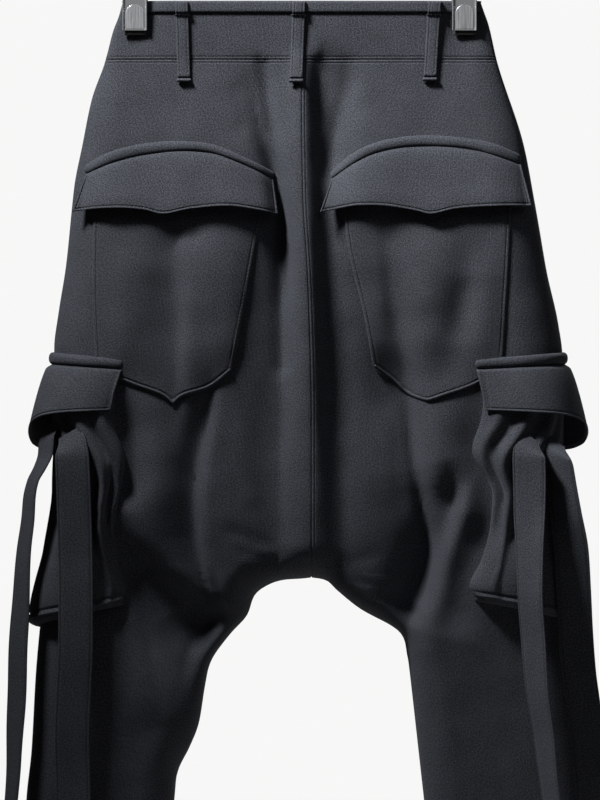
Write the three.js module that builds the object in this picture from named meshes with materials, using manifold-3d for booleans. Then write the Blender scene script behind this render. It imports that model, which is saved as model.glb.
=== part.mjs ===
// Harem trousers with a low crotch, hanging by their waistband from a hanger with two clips.
// Millimetres, +Z up. The origin is the inner top of the hanger's hook, and the back of the
// trousers faces -Y. A "drop" is a distance below the waist's top edge. Left is -X.
import * as THREE from "three";
import { mergeVertices } from "three/addons/utils/BufferGeometryUtils.js";
import Module from "manifold-3d";

const wasm = await Module();
wasm.setup();

// Driving dimensions
const HOOK_TO_WAIST = 110; // inner top of the hook down to the waist's top edge
const BAND_DROP = 64; // waistband's lower seam
const CROTCH_DROP = 633; // where the centre seams meet the inseam
const HEM_DROP = 1030;
const WALL = 2; // double-knit cloth
const POCKET_WALL = 1.8;
const SEAM_GAP = 0.3;
const CLEARANCE = 0.4; // between a piece and the panel it lies on
const BINDING_PROUD = 2.9; // outer face of the rolled strip, above the waistband
const LOOP_WIDTH = 14;
const LOOP_THICKNESS = 2.4; // doubled cloth
const STRAP_WIDTH = 38;
const BACK = -1;
const FRONT = 1;
const LEFT = -1;
const RIGHT = 1;

const table = (columns, rows) => {
  const names = columns.split(" ");
  return rows.map((row) => Object.fromEntries(names.map((name, i) => [name, row[i]])));
};

// A smooth function from one column of a table to another, without overshoot
function follow(rows, from, to) {
  const x = rows.map((row) => row[from]);
  const y = rows.map((row) => row[to]);
  const last = x.length - 1;
  const secant = (i) => (y[i + 1] - y[i]) / (x[i + 1] - x[i]);
  const slopes = x.map((_, i) => {
    if (i === 0) return secant(0);
    if (i === last) return secant(last - 1);
    const before = secant(i - 1);
    const after = secant(i);
    return before * after <= 0 ? 0 : (2 * before * after) / (before + after);
  });
  return (at) => {
    const v = THREE.MathUtils.clamp(at, x[0], x[last]);
    let i = 0;
    while (i < last - 1 && v > x[i + 1]) i += 1;
    const span = x[i + 1] - x[i];
    const t = (v - x[i]) / span;
    const rise = (3 - 2 * t) * t * t;
    return y[i] * (1 - rise) + y[i + 1] * rise
      + span * (slopes[i] * t * (1 - t) ** 2 - slopes[i + 1] * (1 - t) * t * t);
  };
}

// Half outlines, seen from behind
const SIDE_SEAM = {
  [LEFT]: table("drop x", [
    [0, -201.5], [17, -206.3], [31, -211.8], [58, -218.9], [68, -221.7], [107, -235.6], [158, -246.1],
    [200, -254.5], [218, -256.6], [290, -264], [343, -272.4], [381, -277], [450, -276], [535, -274],
    [600, -281], [655, -289], [736, -297], [824, -302], [878, -307.6], [1030, -312],
  ]),
  [RIGHT]: table("drop x", [
    [0, 192], [10, 195.5], [25, 200.8], [65, 210.1], [158, 239.7], [218, 251.2], [248, 256.5],
    [297, 264.9], [354, 277.5], [390, 282], [450, 281], [535, 279], [600, 287], [683, 297],
    [784, 305.8], [878, 312.4], [1030, 316],
  ]),
};
const CENTRE_SEAM = table("drop x", [
  [0, -4.6], [97, -4.6], [207, -3.4], [301, 1.9], [353, 4], [449, 6.1], [CROTCH_DROP, 6.1],
]);
// From the crotch round the bag's lower edge and down the leg
const INSEAM = {
  [LEFT]: [
    [-6.6, 634.4], [-25.3, 635.8], [-41.9, 641.3], [-56.7, 652.7], [-65.1, 674.9], [-84, 695.9],
    [-104, 724], [-111, 752], [-117.7, 792.7], [-128.3, 820], [-140.8, 846], [-145, 880], [-158, HEM_DROP],
  ],
  [RIGHT]: [
    [22.9, 636.5], [35.2, 648], [60.5, 668], [94.4, 686.4], [107, 699], [111.1, 718],
    [114.4, 740.3], [129.8, 877.8], [147, HEM_DROP],
  ],
};
// Half depth of the hanging cloth, and how far in from the side it rounds
const FULLNESS = table("drop depth reach", [
  [0, 6.5, 12], [30, 8, 20], [64, 9.5, 30], [110, 15, 36], [160, 23, 42], [240, 34, 48], [350, 43, 52],
  [450, 50, 54], [560, 54, 54], [633, 51, 54], [700, 45, 52], [800, 40, 50], [HEM_DROP, 34, 46],
]);
const INSEAM_REACH = 40;
const FOLD_FADE = { side: 40, inseam: 30, top: 30, topLength: 70 }; // where the folds die out
const CLIP_X = { [LEFT]: -188, [RIGHT]: 174 };
const CLIP_PINCH = { width: 24, drop: 90, share: 0.7, depth: 2.9 };

// Folds: + stands out, - sinks in. Widths are to the left and right of the path as it runs down.
// "from" and "to" are the shares of the depth at the path's ends.
const FOLDS = {
  [BACK]: table("depth left right from to path", [
    [7, 14, 12, 1, 0.6, [[-4.6, 66], [-3.4, 207], [1.9, 301], [6, 449], [6, 610]]],
    [-9, 12, 8, 0.8, 0.2, [[-47, 70], [-37, 141], [-30, 201], [-27, 251], [-25, 328]]],
    [-12, 7, 20, 1, 0.7, [[14, 68], [15, 108], [18, 174], [17, 262], [18, 361], [24, 471], [35, 600]]],
    [-5, 12, 11, 0, 0.5, [[-42, 425], [-40, 520], [-37, 590]]],
    [-6, 12, 12, 0.6, 0, [[47, 68], [43, 108], [29, 163], [24, 205]]],
    [-24, 46, 10, 0, 1, [[-103, 420], [-111, 481], [-118, 528], [-120, 581], [-118, 614],
      [-113, 641], [-101, 667], [-86, 672], [-66, 660]]],
    [-16, 24, 26, 0, 0.8, [[-207, 586], [-172, 647], [-133, 682], [-92, 696]]],
    [-8, 30, 8, 0, 0, [[-152, 245], [-147, 306], [-144, 377], [-143, 438], [-138, 480], [-122, 540]]],
    [-13, 26, 9, 0, 0.6, [[110, 430], [120, 502], [128, 574], [133, 614]]],
    [-22, 34, 10, 0.3, 1, [[172, 535], [149, 580], [132, 635], [120, 667], [112, 688]]],
    [-12, 12, 14, 0, 0, [[147, 516], [158, 536], [170, 552]]],
    [-8, 14, 10, 0, 0, [[182, 438], [176, 482], [181, 526], [190, 556]]],
    [-7, 10, 14, 0, 0, [[52, 245], [62, 317], [72, 390]]],
    [-6, 14, 14, 0, 0, [[178, 280], [168, 350], [156, 410]]],
    [-8, 12, 14, 0, 0, [[-203, 438], [-190, 480], [-194, 530], [-205, 560]]],
    [5, 26, 26, 0, 0, [[-200, 620], [-178, 700], [-160, 780]]],
    [-6, 20, 20, 0, 0, [[180, 560], [162, 620], [150, 690]]],
  ]),
  [FRONT]: table("depth left right from to path", [
    [5, 16, 16, 1, 0.6, [[-4.6, 66], [-3.4, 207], [1.9, 301], [6, 610]]],
    [-11, 18, 12, 0.4, 0.6, [[-40, 70], [-34, 200], [-40, 360], [-60, 600]]],
    [-11, 12, 18, 0.4, 0.6, [[32, 70], [30, 200], [44, 360], [66, 610]]],
    [-15, 34, 14, 0, 1, [[-118, 440], [-122, 540], [-118, 620], [-92, 668]]],
    [-15, 14, 34, 0, 1, [[118, 440], [126, 540], [124, 620], [104, 678]]],
    [-9, 24, 24, 0, 0.6, [[-210, 560], [-160, 650], [-104, 706]]],
    [-9, 24, 24, 0, 0.6, [[214, 570], [170, 660], [120, 720]]],
  ]),
};

// Depth tables made into functions of the drop
const seamX = {
  [LEFT]: follow(SIDE_SEAM[LEFT], "drop", "x"),
  [RIGHT]: follow(SIDE_SEAM[RIGHT], "drop", "x"),
};
const centreX = follow(CENTRE_SEAM, "drop", "x");
const fullnessAt = follow(FULLNESS, "drop", "depth");
const reachAt = follow(FULLNESS, "drop", "reach");

const splinePoints = (points, pieces) =>
  new THREE.SplineCurve(points.map(([x, drop]) => new THREE.Vector2(x, drop))).getPoints(pieces);
const inseamPoints = (side) => {
  const crotch = [centreX(CROTCH_DROP) + (side * SEAM_GAP) / 2, CROTCH_DROP];
  return splinePoints([crotch, ...INSEAM[side]], 60);
};
const INSEAM_LINES = { [LEFT]: inseamPoints(LEFT), [RIGHT]: inseamPoints(RIGHT) };
for (const face of [BACK, FRONT]) {
  for (const fold of FOLDS[face]) fold.line = splinePoints(fold.path, 18);
}

// Nearest point of a line: its distance, how far along it lies (0 to 1), and which side
function nearest(line, x, drop) {
  let best = { distance: Infinity, along: 0, side: LEFT };
  for (let i = 0; i < line.length - 1; i += 1) {
    const a = line[i];
    const b = line[i + 1];
    const dx = b.x - a.x;
    const dd = b.y - a.y;
    const t = THREE.MathUtils.clamp(((x - a.x) * dx + (drop - a.y) * dd) / (dx * dx + dd * dd), 0, 1);
    const distance = Math.hypot(x - a.x - dx * t, drop - a.y - dd * t);
    if (distance < best.distance) {
      const turn = dx * (drop - a.y) - dd * (x - a.x);
      best = { distance, along: (i + t) / (line.length - 1), side: turn > 0 ? LEFT : RIGHT };
    }
  }
  return best;
}

const rounded = (t) => Math.sqrt(1 - (1 - Math.min(t, 1)) ** 2);
const eased = (t) => THREE.MathUtils.smoothstep(t, 0, 1);

function foldDepth(fold, x, drop) {
  const { distance, along, side } = nearest(fold.line, x, drop);
  const width = side === LEFT ? fold.left : fold.right;
  const start = fold.from + (1 - fold.from) * eased(along / 0.3);
  const end = fold.to + (1 - fold.to) * eased((1 - along) / 0.3);
  return fold.depth * start * end * Math.exp(-((distance / width) ** 2));
}

// How far the cloth stands from the seam plane, with and without its folds
function plainDepth(side, x, drop) {
  const out = Math.max(0, side * (seamX[side](drop) - x));
  const inner = nearest(INSEAM_LINES[side], x, drop).distance;
  const shape = rounded(out / reachAt(drop)) * rounded(inner / INSEAM_REACH);
  const grip = CLIP_PINCH.share * Math.exp(-(((x - CLIP_X[side]) / CLIP_PINCH.width) ** 2));
  const pinch = 1 - grip * eased(1 - drop / CLIP_PINCH.drop);
  return { depth: Math.max(fullnessAt(drop) * pinch, CLIP_PINCH.depth) * shape, out, inner, shape };
}
function clothDepth(face, x, drop) {
  const side = x < centreX(drop) ? LEFT : RIGHT;
  const plain = plainDepth(side, x, drop);
  const seams = eased(plain.out / FOLD_FADE.side) * eased(plain.inner / FOLD_FADE.inseam);
  const edge = seams * eased((drop - FOLD_FADE.top) / FOLD_FADE.topLength);
  const folds = FOLDS[face].reduce((sum, fold) => sum + foldDepth(fold, x, drop), 0);
  return Math.max(plain.depth + folds * edge, CLIP_PINCH.depth * plain.shape);
}

const place = (x, y, drop) => new THREE.Vector3(x, y, -HOOK_TO_WAIST - drop);
const clothPoint = (face, x, drop) => place(x, face * (SEAM_GAP / 2 + clothDepth(face, x, drop)), drop);
const mix = THREE.MathUtils.lerp;
const evenly = (from, to, count) => Array.from({ length: count }, (_, i) => mix(from, to, i / (count - 1)));

// Normals of a grid of points, turned to point away from the seam plane or from a given sense
function gridNormals(grid, sense) {
  const rows = grid.length;
  const columns = grid[0].length;
  const at = (r, c) => grid[THREE.MathUtils.clamp(r, 0, rows - 1)][THREE.MathUtils.clamp(c, 0, columns - 1)];
  return grid.map((row, r) => row.map((_, c) => {
    const along = at(r + 1, c).clone().sub(at(r - 1, c));
    const across = at(r, c + 1).clone().sub(at(r, c - 1));
    return across.cross(along).multiplyScalar(sense).normalize();
  }));
}
const flatten = (normal, axis) => {
  normal[axis] = 0;
  return normal.normalize();
};
const moved = (grid, normals, distance) => grid.map((row, r) => row.map((point, c) => {
  const step = typeof distance === "function" ? distance(point.x, -HOOK_TO_WAIST - point.z) : distance;
  return point.clone().addScaledVector(normals[r][c], step);
}));

// A closed solid between two grids of points, as indexed triangles with their faces pointing out
function between(outer, inner) {
  const rows = outer.length;
  const columns = outer[0].length;
  const points = [...outer.flat(), ...inner.flat()];
  const id = (layer, r, c) => layer * rows * columns + r * columns + c;
  const faces = [];
  const quad = (a, b, c, d) => faces.push([a, b, c], [a, c, d]);
  for (let r = 0; r < rows - 1; r += 1) {
    for (let c = 0; c < columns - 1; c += 1) {
      quad(id(0, r, c), id(0, r, c + 1), id(0, r + 1, c + 1), id(0, r + 1, c));
      quad(id(1, r, c), id(1, r + 1, c), id(1, r + 1, c + 1), id(1, r, c + 1));
    }
  }
  for (let c = 0; c < columns - 1; c += 1) {
    quad(id(1, 0, c), id(1, 0, c + 1), id(0, 0, c + 1), id(0, 0, c));
    quad(id(0, rows - 1, c), id(0, rows - 1, c + 1), id(1, rows - 1, c + 1), id(1, rows - 1, c));
  }
  for (let r = 0; r < rows - 1; r += 1) {
    quad(id(0, r, 0), id(0, r + 1, 0), id(1, r + 1, 0), id(1, r, 0));
    quad(id(1, r, columns - 1), id(1, r + 1, columns - 1), id(0, r + 1, columns - 1), id(0, r, columns - 1));
  }
  const volume = faces.reduce((sum, [a, b, c]) => sum + points[a].dot(points[b].clone().cross(points[c])), 0);
  if (volume < 0) faces.forEach((face) => face.reverse());
  const geometry = new THREE.BufferGeometry().setFromPoints(points);
  geometry.setIndex(faces.flat());
  return geometry;
}

const toSolid = (geometry) => {
  const bare = geometry.clone();
  bare.deleteAttribute("normal");
  bare.deleteAttribute("uv");
  const merged = mergeVertices(bare, 1e-4);
  return new wasm.Manifold(new wasm.Mesh({
    numProp: 3,
    vertProperties: new Float32Array(merged.attributes.position.array),
    triVerts: new Uint32Array(merged.index.array),
  }));
};
const toGeometry = (solid) => {
  const largest = solid.decompose().reduce((best, body) => (body.volume() > best.volume() ? body : best));
  const mesh = largest.getMesh();
  const geometry = new THREE.BufferGeometry();
  geometry.setAttribute("position", new THREE.BufferAttribute(mesh.vertProperties, 3));
  geometry.setIndex(new THREE.BufferAttribute(mesh.triVerts, 1));
  return geometry;
};

// Rows of a panel start on the centre seam, then on the inseam, and end on the side seam
const SEAM_POINTS = 40;
const innerLine = (side) => {
  const seam = evenly(BAND_DROP + SEAM_GAP / 2, CROTCH_DROP, SEAM_POINTS)
    .map((drop) => new THREE.Vector2(centreX(drop) + (side * SEAM_GAP) / 2, drop));
  return [...seam, ...INSEAM_LINES[side].slice(1)];
};
function lineWalker(line) {
  const lengths = [0];
  for (let i = 1; i < line.length; i += 1) lengths.push(lengths[i - 1] + line[i].distanceTo(line[i - 1]));
  const total = lengths[lengths.length - 1];
  const at = (length) => {
    let i = 0;
    while (i < line.length - 2 && length > lengths[i + 1]) i += 1;
    return line[i].clone().lerp(line[i + 1], (length - lengths[i]) / (lengths[i + 1] - lengths[i]));
  };
  return { total, at };
}
// A column of the back panels follows the edge of the bag, so that its fold stays sharp
const FOLD_COLUMN = {
  [LEFT]: table("drop x", [[64, -105], [250, -112], [434, -103], [481, -111], [528, -118], [581, -120],
    [614, -119], [660, -122], [700, -150], [760, -190], [HEM_DROP, -235]]),
  [RIGHT]: table("drop x", [[64, 105], [250, 112], [400, 108], [441, 111], [502, 126], [542, 160],
    [580, 150], [620, 140], [660, 145], [700, 170], [760, 190], [HEM_DROP, 230]]),
};
const FOLD_STEP = 9;
const INNER_STEPS = [0, 1.5, 6, 15, 30];
const OUTER_STEPS = [52, 30, 15, 6, 1.5, 0];

function rowSteps(width, fold) {
  const inner = INNER_STEPS[INNER_STEPS.length - 1];
  const outer = width - OUTER_STEPS[0];
  const side = OUTER_STEPS.map((step) => width - step);
  if (fold === null) return [...INNER_STEPS, ...evenly(inner, outer, 6).slice(1, -1), ...side];
  const line = THREE.MathUtils.clamp(fold, inner + 15, outer - 18);
  const near = line - FOLD_STEP;
  const far = line + FOLD_STEP;
  const beyond = evenly(far, outer, 4).slice(1, -1);
  return [...INNER_STEPS, (inner + near) / 2, near, line, far, ...beyond, ...side];
}

function panelRows(side, stops) {
  const line = innerLine(side);
  const walk = lineWalker(line);
  const crotch = lineWalker(line.slice(0, SEAM_POINTS)).total;
  const lengths = [
    ...evenly(0, crotch - stops.above[0], stops.seat).slice(0, -1),
    ...stops.above.map((step) => crotch - step),
    ...stops.below.map((step) => crotch + step),
    ...evenly(crotch + stops.below[stops.below.length - 1], walk.total, stops.leg).slice(1),
  ];
  return lengths.map((length) => {
    const inner = walk.at(length);
    const outerDrop = mix(BAND_DROP + SEAM_GAP / 2, HEM_DROP, length / walk.total);
    const outer = new THREE.Vector2(seamX[side](outerDrop), outerDrop);
    return { inner, outer, seat: length < crotch };
  });
}
const BACK_STOPS = { seat: 14, above: [62, 36, 18, 6, 0], below: [10, 24, 40, 60, 86, 118, 154], leg: 7 };
const FRONT_STOPS = { seat: 9, above: [52, 24, 8, 0], below: [14, 36, 66, 106, 154], leg: 6 };

function panelGrid(face, side) {
  const rows = panelRows(side, face === BACK ? BACK_STOPS : FRONT_STOPS);
  const foldX = follow(FOLD_COLUMN[side], "drop", "x");
  const grid = rows.map(({ inner, outer }) => {
    const width = inner.distanceTo(outer);
    let share = 0.5;
    for (let i = 0; i < 5; i += 1) {
      const drop = mix(inner.y, outer.y, share);
      share = (foldX(drop) - inner.x) / (outer.x - inner.x);
    }
    return rowSteps(width, face === BACK ? share * width : null).map((step) => {
      const spot = inner.clone().lerp(outer, step / width);
      return clothPoint(face, spot.x, spot.y);
    });
  });
  const normals = gridNormals(grid, face * side);
  const lastRow = grid.length - 1;
  normals.forEach((row, r) => {
    flatten(row[row.length - 1], "y");
    if (rows[r].seat) flatten(row[0], "x");
    else if (r > 0 && rows[r - 1].seat) row[0].set(0, 0, -1);
    else flatten(row[0], "y");
    if (r === 0 || r === lastRow) row.forEach((normal) => flatten(normal, "z"));
  });
  return { face, grid, normals };
}

// The waistband, and the strips that follow it, run from one side seam to the other
const BAND_DROPS = [0, 3, 14, 31, 48, BAND_DROP - SEAM_GAP / 2];
const BAND_SIDE_STEPS = [0, 1.5, 5, 12, 22, 36];
const BAND_END_STEPS = [0, 12];
const BAND_COLUMNS = { [BACK]: 15, [FRONT]: 8 };

function bandGrid(face, fromX, toX) {
  const start = fromX === null ? BAND_SIDE_STEPS : BAND_END_STEPS;
  const end = [...(toX === null ? BAND_SIDE_STEPS : BAND_END_STEPS)].reverse();
  const grid = BAND_DROPS.map((drop) => {
    const from = fromX ?? seamX[LEFT](drop);
    const to = toX ?? seamX[RIGHT](drop);
    const inner = evenly(from + start[start.length - 1], to - end[0], BAND_COLUMNS[face]);
    const stops = [...start.slice(0, -1).map((s) => from + s), ...inner, ...end.slice(1).map((s) => to - s)];
    return stops.map((x) => clothPoint(face, x, drop));
  });
  const normals = gridNormals(grid, face);
  normals.forEach((row, r) => {
    const first = row[0];
    const last = row[row.length - 1];
    flatten(first, fromX === null ? "y" : "x");
    flatten(last, toX === null ? "y" : "x");
    if (r === 0 || r === normals.length - 1) row.forEach((normal) => flatten(normal, "z"));
  });
  return { face, grid, normals };
}

// The cloth wall of a panel, and the solid between its outer face, moved out, and the seam plane
function panelWall({ face, grid, normals }) {
  const inner = moved(grid, normals, -WALL);
  inner.flat().forEach((point) => {
    if (point.y * face < SEAM_GAP / 2) point.y = (face * SEAM_GAP) / 2;
  });
  return between(grid, inner);
}
function core({ grid, normals }, out) {
  const outer = moved(grid, normals, out);
  const plane = outer.map((row) => row.map((point) => new THREE.Vector3(point.x, 0, point.z)));
  return toSolid(between(outer, plane));
}

// A prism along Y whose outline is given by edges of [x, drop] points, splined where they curve
const PRISM_DEPTH = 150;
function prism(face, edges, lower = 0) {
  const corners = edges.flatMap((edge) => {
    const points = edge.length > 2 ? splinePoints(edge, edge.length * 2) : splinePoints(edge, 1);
    return points.slice(0, -1);
  });
  const shape = new THREE.Shape(corners.map((point) => new THREE.Vector2(point.x, -HOOK_TO_WAIST - point.y)));
  const geometry = new THREE.ExtrudeGeometry(shape, { depth: PRISM_DEPTH, bevelEnabled: false, steps: 1 });
  geometry.rotateX(Math.PI / 2);
  geometry.translate(0, face === FRONT ? PRISM_DEPTH : 0, -lower);
  return toSolid(geometry);
}
function patch(panel, edges, under, over, cutters = []) {
  const layer = prism(panel.face, edges).intersect(core(panel, over)).subtract(core(panel, under));
  return toGeometry(cutters.reduce((solid, cutter) => solid.subtract(cutter), layer));
}

// The wall of a sheet that stands free of the panels, cut back where it meets them
function sheetWall(grid, sense, thickness, cutters) {
  const normals = gridNormals(grid, sense);
  const sheet = toSolid(between(grid, moved(grid, normals, -thickness)));
  return toGeometry(cutters.reduce((solid, cutter) => solid.subtract(cutter), sheet));
}

// The room that a sheet's wall takes, with its top edge raised, for cutting what lies over it
function sheetGuard(grid, sense, thickness) {
  const grown = grid.map((row, r) => row.map((point) => {
    const raised = point.clone();
    if (r === 0) raised.z += CLEARANCE;
    return raised;
  }));
  const normals = gridNormals(grown, sense);
  return toSolid(between(moved(grown, normals, CLEARANCE), moved(grown, normals, -thickness - CLEARANCE)));
}

const cloth = new THREE.MeshStandardMaterial({ color: 0x2a2b2f, roughness: 0.92, metalness: 0 });
const steel = new THREE.MeshStandardMaterial({ color: 0xb9bcc0, roughness: 0.25, metalness: 1 });
const rubber = new THREE.MeshStandardMaterial({ color: 0x101010, roughness: 0.8, metalness: 0 });
const buttonHorn = new THREE.MeshStandardMaterial({ color: 0x17171a, roughness: 0.4, metalness: 0 });

const trousers = new THREE.Group();
const add = (name, geometry, material = cloth) => {
  const mesh = new THREE.Mesh(geometry, material);
  mesh.name = name;
  trousers.add(mesh);
};
const SIDE_NAMES = [[LEFT, "left"], [RIGHT, "right"]];

// Panels and waistband
const panels = {};
for (const [side, word] of SIDE_NAMES) {
  panels[`back_${word}`] = panelGrid(BACK, side);
  panels[`front_${word}`] = panelGrid(FRONT, side);
}
const frontCentre = centreX(0);
panels.waistband_back = bandGrid(BACK, null, null);
panels.waistband_front_left = bandGrid(FRONT, null, frontCentre - SEAM_GAP / 2);
panels.waistband_front_right = bandGrid(FRONT, frontCentre + SEAM_GAP / 2, null);
for (const [name, panel] of Object.entries(panels)) add(name, panelWall(panel));

// Binding: a rolled strip along the waist's top edge
const BINDING_DROP = 12;
const BINDING_OVERRUN = 4; // past the seams, where there is no cloth to cover
const rectangle = (left, right, top, bottom) => {
  const corners = [[left, top], [right, top], [right, bottom], [left, bottom], [left, top]];
  return corners.slice(1).map((corner, i) => [corners[i], corner]);
};
for (const name of ["waistband_back", "waistband_front_left", "waistband_front_right"]) {
  const [row] = panels[name].grid;
  const from = row[0].x - BINDING_OVERRUN;
  const to = row[row.length - 1].x + BINDING_OVERRUN;
  const strip = rectangle(from, to, -1, BINDING_DROP);
  add(name.replace("waistband", "binding"), patch(panels[name], strip, CLEARANCE, BINDING_PROUD));
}

// Back pockets: an arched welt, a pointed flap that stands off, and a bag that ends in a point
const BACK_POCKETS = {
  [LEFT]: {
    weltTop: [[-245.1, 183], [-218.9, 168.3], [-189.2, 159.5], [-157.7, 155.1], [-126.2, 155.1],
      [-99, 158.8], [-67.1, 172.5], [-33.6, 188.3]],
    weltLow: [[-240.9, 190.3], [-210.3, 177.8], [-176.7, 169.4], [-136.6, 165], [-105.1, 167.2],
      [-73.7, 177.8], [-35.6, 195.6]],
    flapLow: [[-255.5, 232], [-231.3, 229.5], [-202, 228.5], [-176.7, 230.6], [-155.7, 235.2],
      [-126.2, 229.5], [-88.2, 226.3], [-58.9, 229.5], [-30.4, 234.7]],
    bag: [
      [[-232, 180], [-176, 166], [-136, 161.5], [-100, 164], [-41, 190]],
      [[-41, 190], [-50, 240], [-63, 313.5], [-80.9, 405.9]],
      [[-80.9, 405.9], [-105.1, 424.4], [-134.5, 434], [-145.2, 444.4]],
      [[-145.2, 444.4], [-157.7, 432.9], [-190, 421], [-228.8, 405]],
      [[-228.8, 405], [-233.4, 317], [-232, 180]],
    ],
  },
  [RIGHT]: {
    weltTop: [[26.1, 188.3], [50.3, 168.3], [77.6, 155.7], [109.1, 149.6], [140.8, 148.3],
      [172.3, 151], [203.8, 156.8], [236.5, 169.4]],
    weltLow: [[28.2, 195.6], [52.4, 178.8], [77.6, 167.2], [108.9, 160.9], [140.8, 159.8],
      [182.8, 163.9], [235.4, 179.9]],
    flapLow: [[15.4, 232.6], [35, 229], [56.5, 225.8], [88, 226.3], [119.7, 231.5], [136.4, 235.2],
      [161.7, 229.5], [193.4, 226.9], [225, 226], [247.1, 225.9]],
    bag: [
      [[36, 190], [77, 163], [109, 157.5], [141, 156.5], [183, 160], [226, 172]],
      [[226, 172], [223.9, 234], [220.7, 301], [214, 402]],
      [[214, 402], [186, 420.6], [153, 432.5], [132.3, 439.6]],
      [[132.3, 439.6], [111, 431.8], [92.4, 415], [73.4, 401.3]],
      [[73.4, 401.3], [62.7, 343.2], [52.4, 301], [44, 260], [36, 190]],
    ],
  },
};
const WELT_PROUD = 5;
const FLAP_STEPS = [[0, 5.4], [0.3, 8], [0.6, 11.5], [0.85, 14.5], [1, 15.5]]; // share of height, stand-off
const FLAP_TUCK = 4; // the flap's top edge starts behind the welt's band
const FLAP_BEND = 12; // how far in from the side seam the flap stops following the cloth
const FLAP_LEAD = 0.6; // how far the flap follows the cloth under it, from its top to its own drop
// How far the middle of a back pocket's bag stands off the panel, and over what lengths it rises
const BAG_LIFT = { height: 5, sides: 40, top: 246, topLength: 60, low: 20, lowLength: 50 };

const weltEdges = ({ weltTop, weltLow }) => [
  weltTop,
  [weltTop[weltTop.length - 1], weltLow[weltLow.length - 1]],
  [...weltLow].reverse(),
  [weltLow[0], weltTop[0]],
];
// Height of the pocket bag's inside above the panel
function bagLift({ bag }, x, drop) {
  const sides = [bag[1][1][0], bag[3][3][0]];
  const low = bag[2][3][1];
  const across = eased((x - Math.min(...sides)) / BAG_LIFT.sides)
    * eased((Math.max(...sides) - x) / BAG_LIFT.sides);
  const down = eased((drop - BAG_LIFT.top) / BAG_LIFT.topLength)
    * eased((low - BAG_LIFT.low - drop) / BAG_LIFT.lowLength);
  return BAG_LIFT.height * across * down;
}
const bagTop = (pocket, extra) => (x, drop) => CLEARANCE + bagLift(pocket, x, drop) + POCKET_WALL + extra;

function flapGrid(side, pocket) {
  const { weltLow, flapLow } = pocket;
  const top = follow(table("x drop", weltLow), "x", "drop");
  const [from, to] = [weltLow[0][0], weltLow[weltLow.length - 1][0]];
  const [first, last] = [flapLow[0][0], flapLow[flapLow.length - 1][0]];
  const edge = (drop) => seamX[side](drop) - side * FLAP_BEND;
  return FLAP_STEPS.map(([share, standOff]) => flapLow.map(([lowX, lowDrop]) => {
    const topX = mix(from, to, (lowX - first) / (last - first));
    const topDrop = top(topX) - FLAP_TUCK;
    const x = mix(topX, lowX, share);
    const drop = mix(topDrop, lowDrop, share);
    const reached = side * Math.min(side * x, side * edge(drop));
    return place(x, -clothDepth(BACK, reached, mix(topDrop, drop, FLAP_LEAD)) - standOff, drop);
  }));
}

for (const [side, word] of SIDE_NAMES) {
  const pocket = BACK_POCKETS[side];
  const panel = panels[`back_${word}`];
  const edges = weltEdges(pocket);
  const weltGuard = prism(BACK, edges, CLEARANCE);
  add(`back_welt_${word}`, patch(panel, edges, CLEARANCE, WELT_PROUD));
  const lift = (x, drop) => CLEARANCE + bagLift(pocket, x, drop);
  add(`back_pocket_${word}`, patch(panel, pocket.bag, lift, bagTop(pocket, 0), [weltGuard]));
  const flapCutters = [weltGuard, core(panel, bagTop(pocket, CLEARANCE))];
  add(`back_flap_${word}`, sheetWall(flapGrid(side, pocket), -1, POCKET_WALL, flapCutters));
}

// Cargo pockets wrap the side seam. "turn" runs from -1 at the back edge to 0 at the side seam
// and 1 at the front edge.
function wrapPoint(side, innerX, turn, drop, out) {
  const edge = seamX[side](drop);
  const at = (t) => {
    const x = edge + (innerX - edge) * (1 - Math.cos((t * Math.PI) / 2));
    const face = t < 0 ? BACK : FRONT;
    return new THREE.Vector2(x, face * clothDepth(face, x, drop));
  };
  const spot = at(turn);
  const along = at(turn + 0.02).sub(at(turn - 0.02)).normalize();
  return place(spot.x + side * along.y * out, spot.y - side * along.x * out, drop);
}
const CARGO = {
  [LEFT]: {
    weltInner: [-197, -200.2],
    flapInner: [-200.2, -214.5],
    bag: table("share inner bulge", [
      [0, -209, 9], [0.12, -209, 9], [0.33, -197.7, 9], [0.48, -203, 6],
      [0.68, -209, 8], [0.82, -203, 12], [0.94, -197, 14], [1, -199, 13],
    ]),
    bagLow: [657, 681, 690],
  },
  [RIGHT]: {
    weltInner: [182.8, 183.9],
    flapInner: [185, 195.5],
    bag: table("share inner bulge", [
      [0, 194, 9], [0.12, 191, 9], [0.28, 181, 9], [0.5, 203, 6],
      [0.65, 200.7, 7], [0.82, 191, 12], [0.95, 178, 14], [1, 184, 13],
    ]),
    bagLow: [652, 679, 688],
  },
};
const CARGO_WELT = table("turn top low", [[-1, 393, 404], [0, 385.5, 398.5], [1, 385.5, 398.5]]);
const CARGO_FLAP = table("turn low standOff", [
  [-1, 449, 10], [-0.7, 450.5, 18], [-0.4, 454, 25], [0, 468, 30], [0.5, 486, 26], [1, 494, 10],
]);
const CARGO_BAG_TOP = 430;
const CARGO_WELT_STEPS = [[0, 3.6], [0.5, 6], [1, 3.6]]; // share of height, stand-off
const CARGO_FLAP_STEPS = [0, 0.25, 0.6, 1];
const FLAP_TURNS = [-1, -0.8, -0.6, -0.4, -0.2, 0, 0.2, 0.4, 0.6, 0.8, 1];
const BAG_TURNS = [-1, -0.96, -0.86, -0.7, -0.5, -0.3, -0.12, 0.12, 0.3, 0.5, 0.7, 0.86, 0.96, 1];
const BAG_UNDERSIDE = [[1.025, 0.8], [1.04, 0.45], [1.045, null]]; // share of height, share of the bulge
const TUCK = -4; // a wrapped piece's edge reaches into the leg before it is cut back
const CARGO_WELT_THICKNESS = 6;
const CARGO_FLAP_ROOT = 5.4; // stand-off at the welt
const BAG_ROUNDING = 0.18; // share of the turn over which the bag's edges round
const GATHER = { depth: 2.2, share: 0.46, width: 0.2 };

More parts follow.
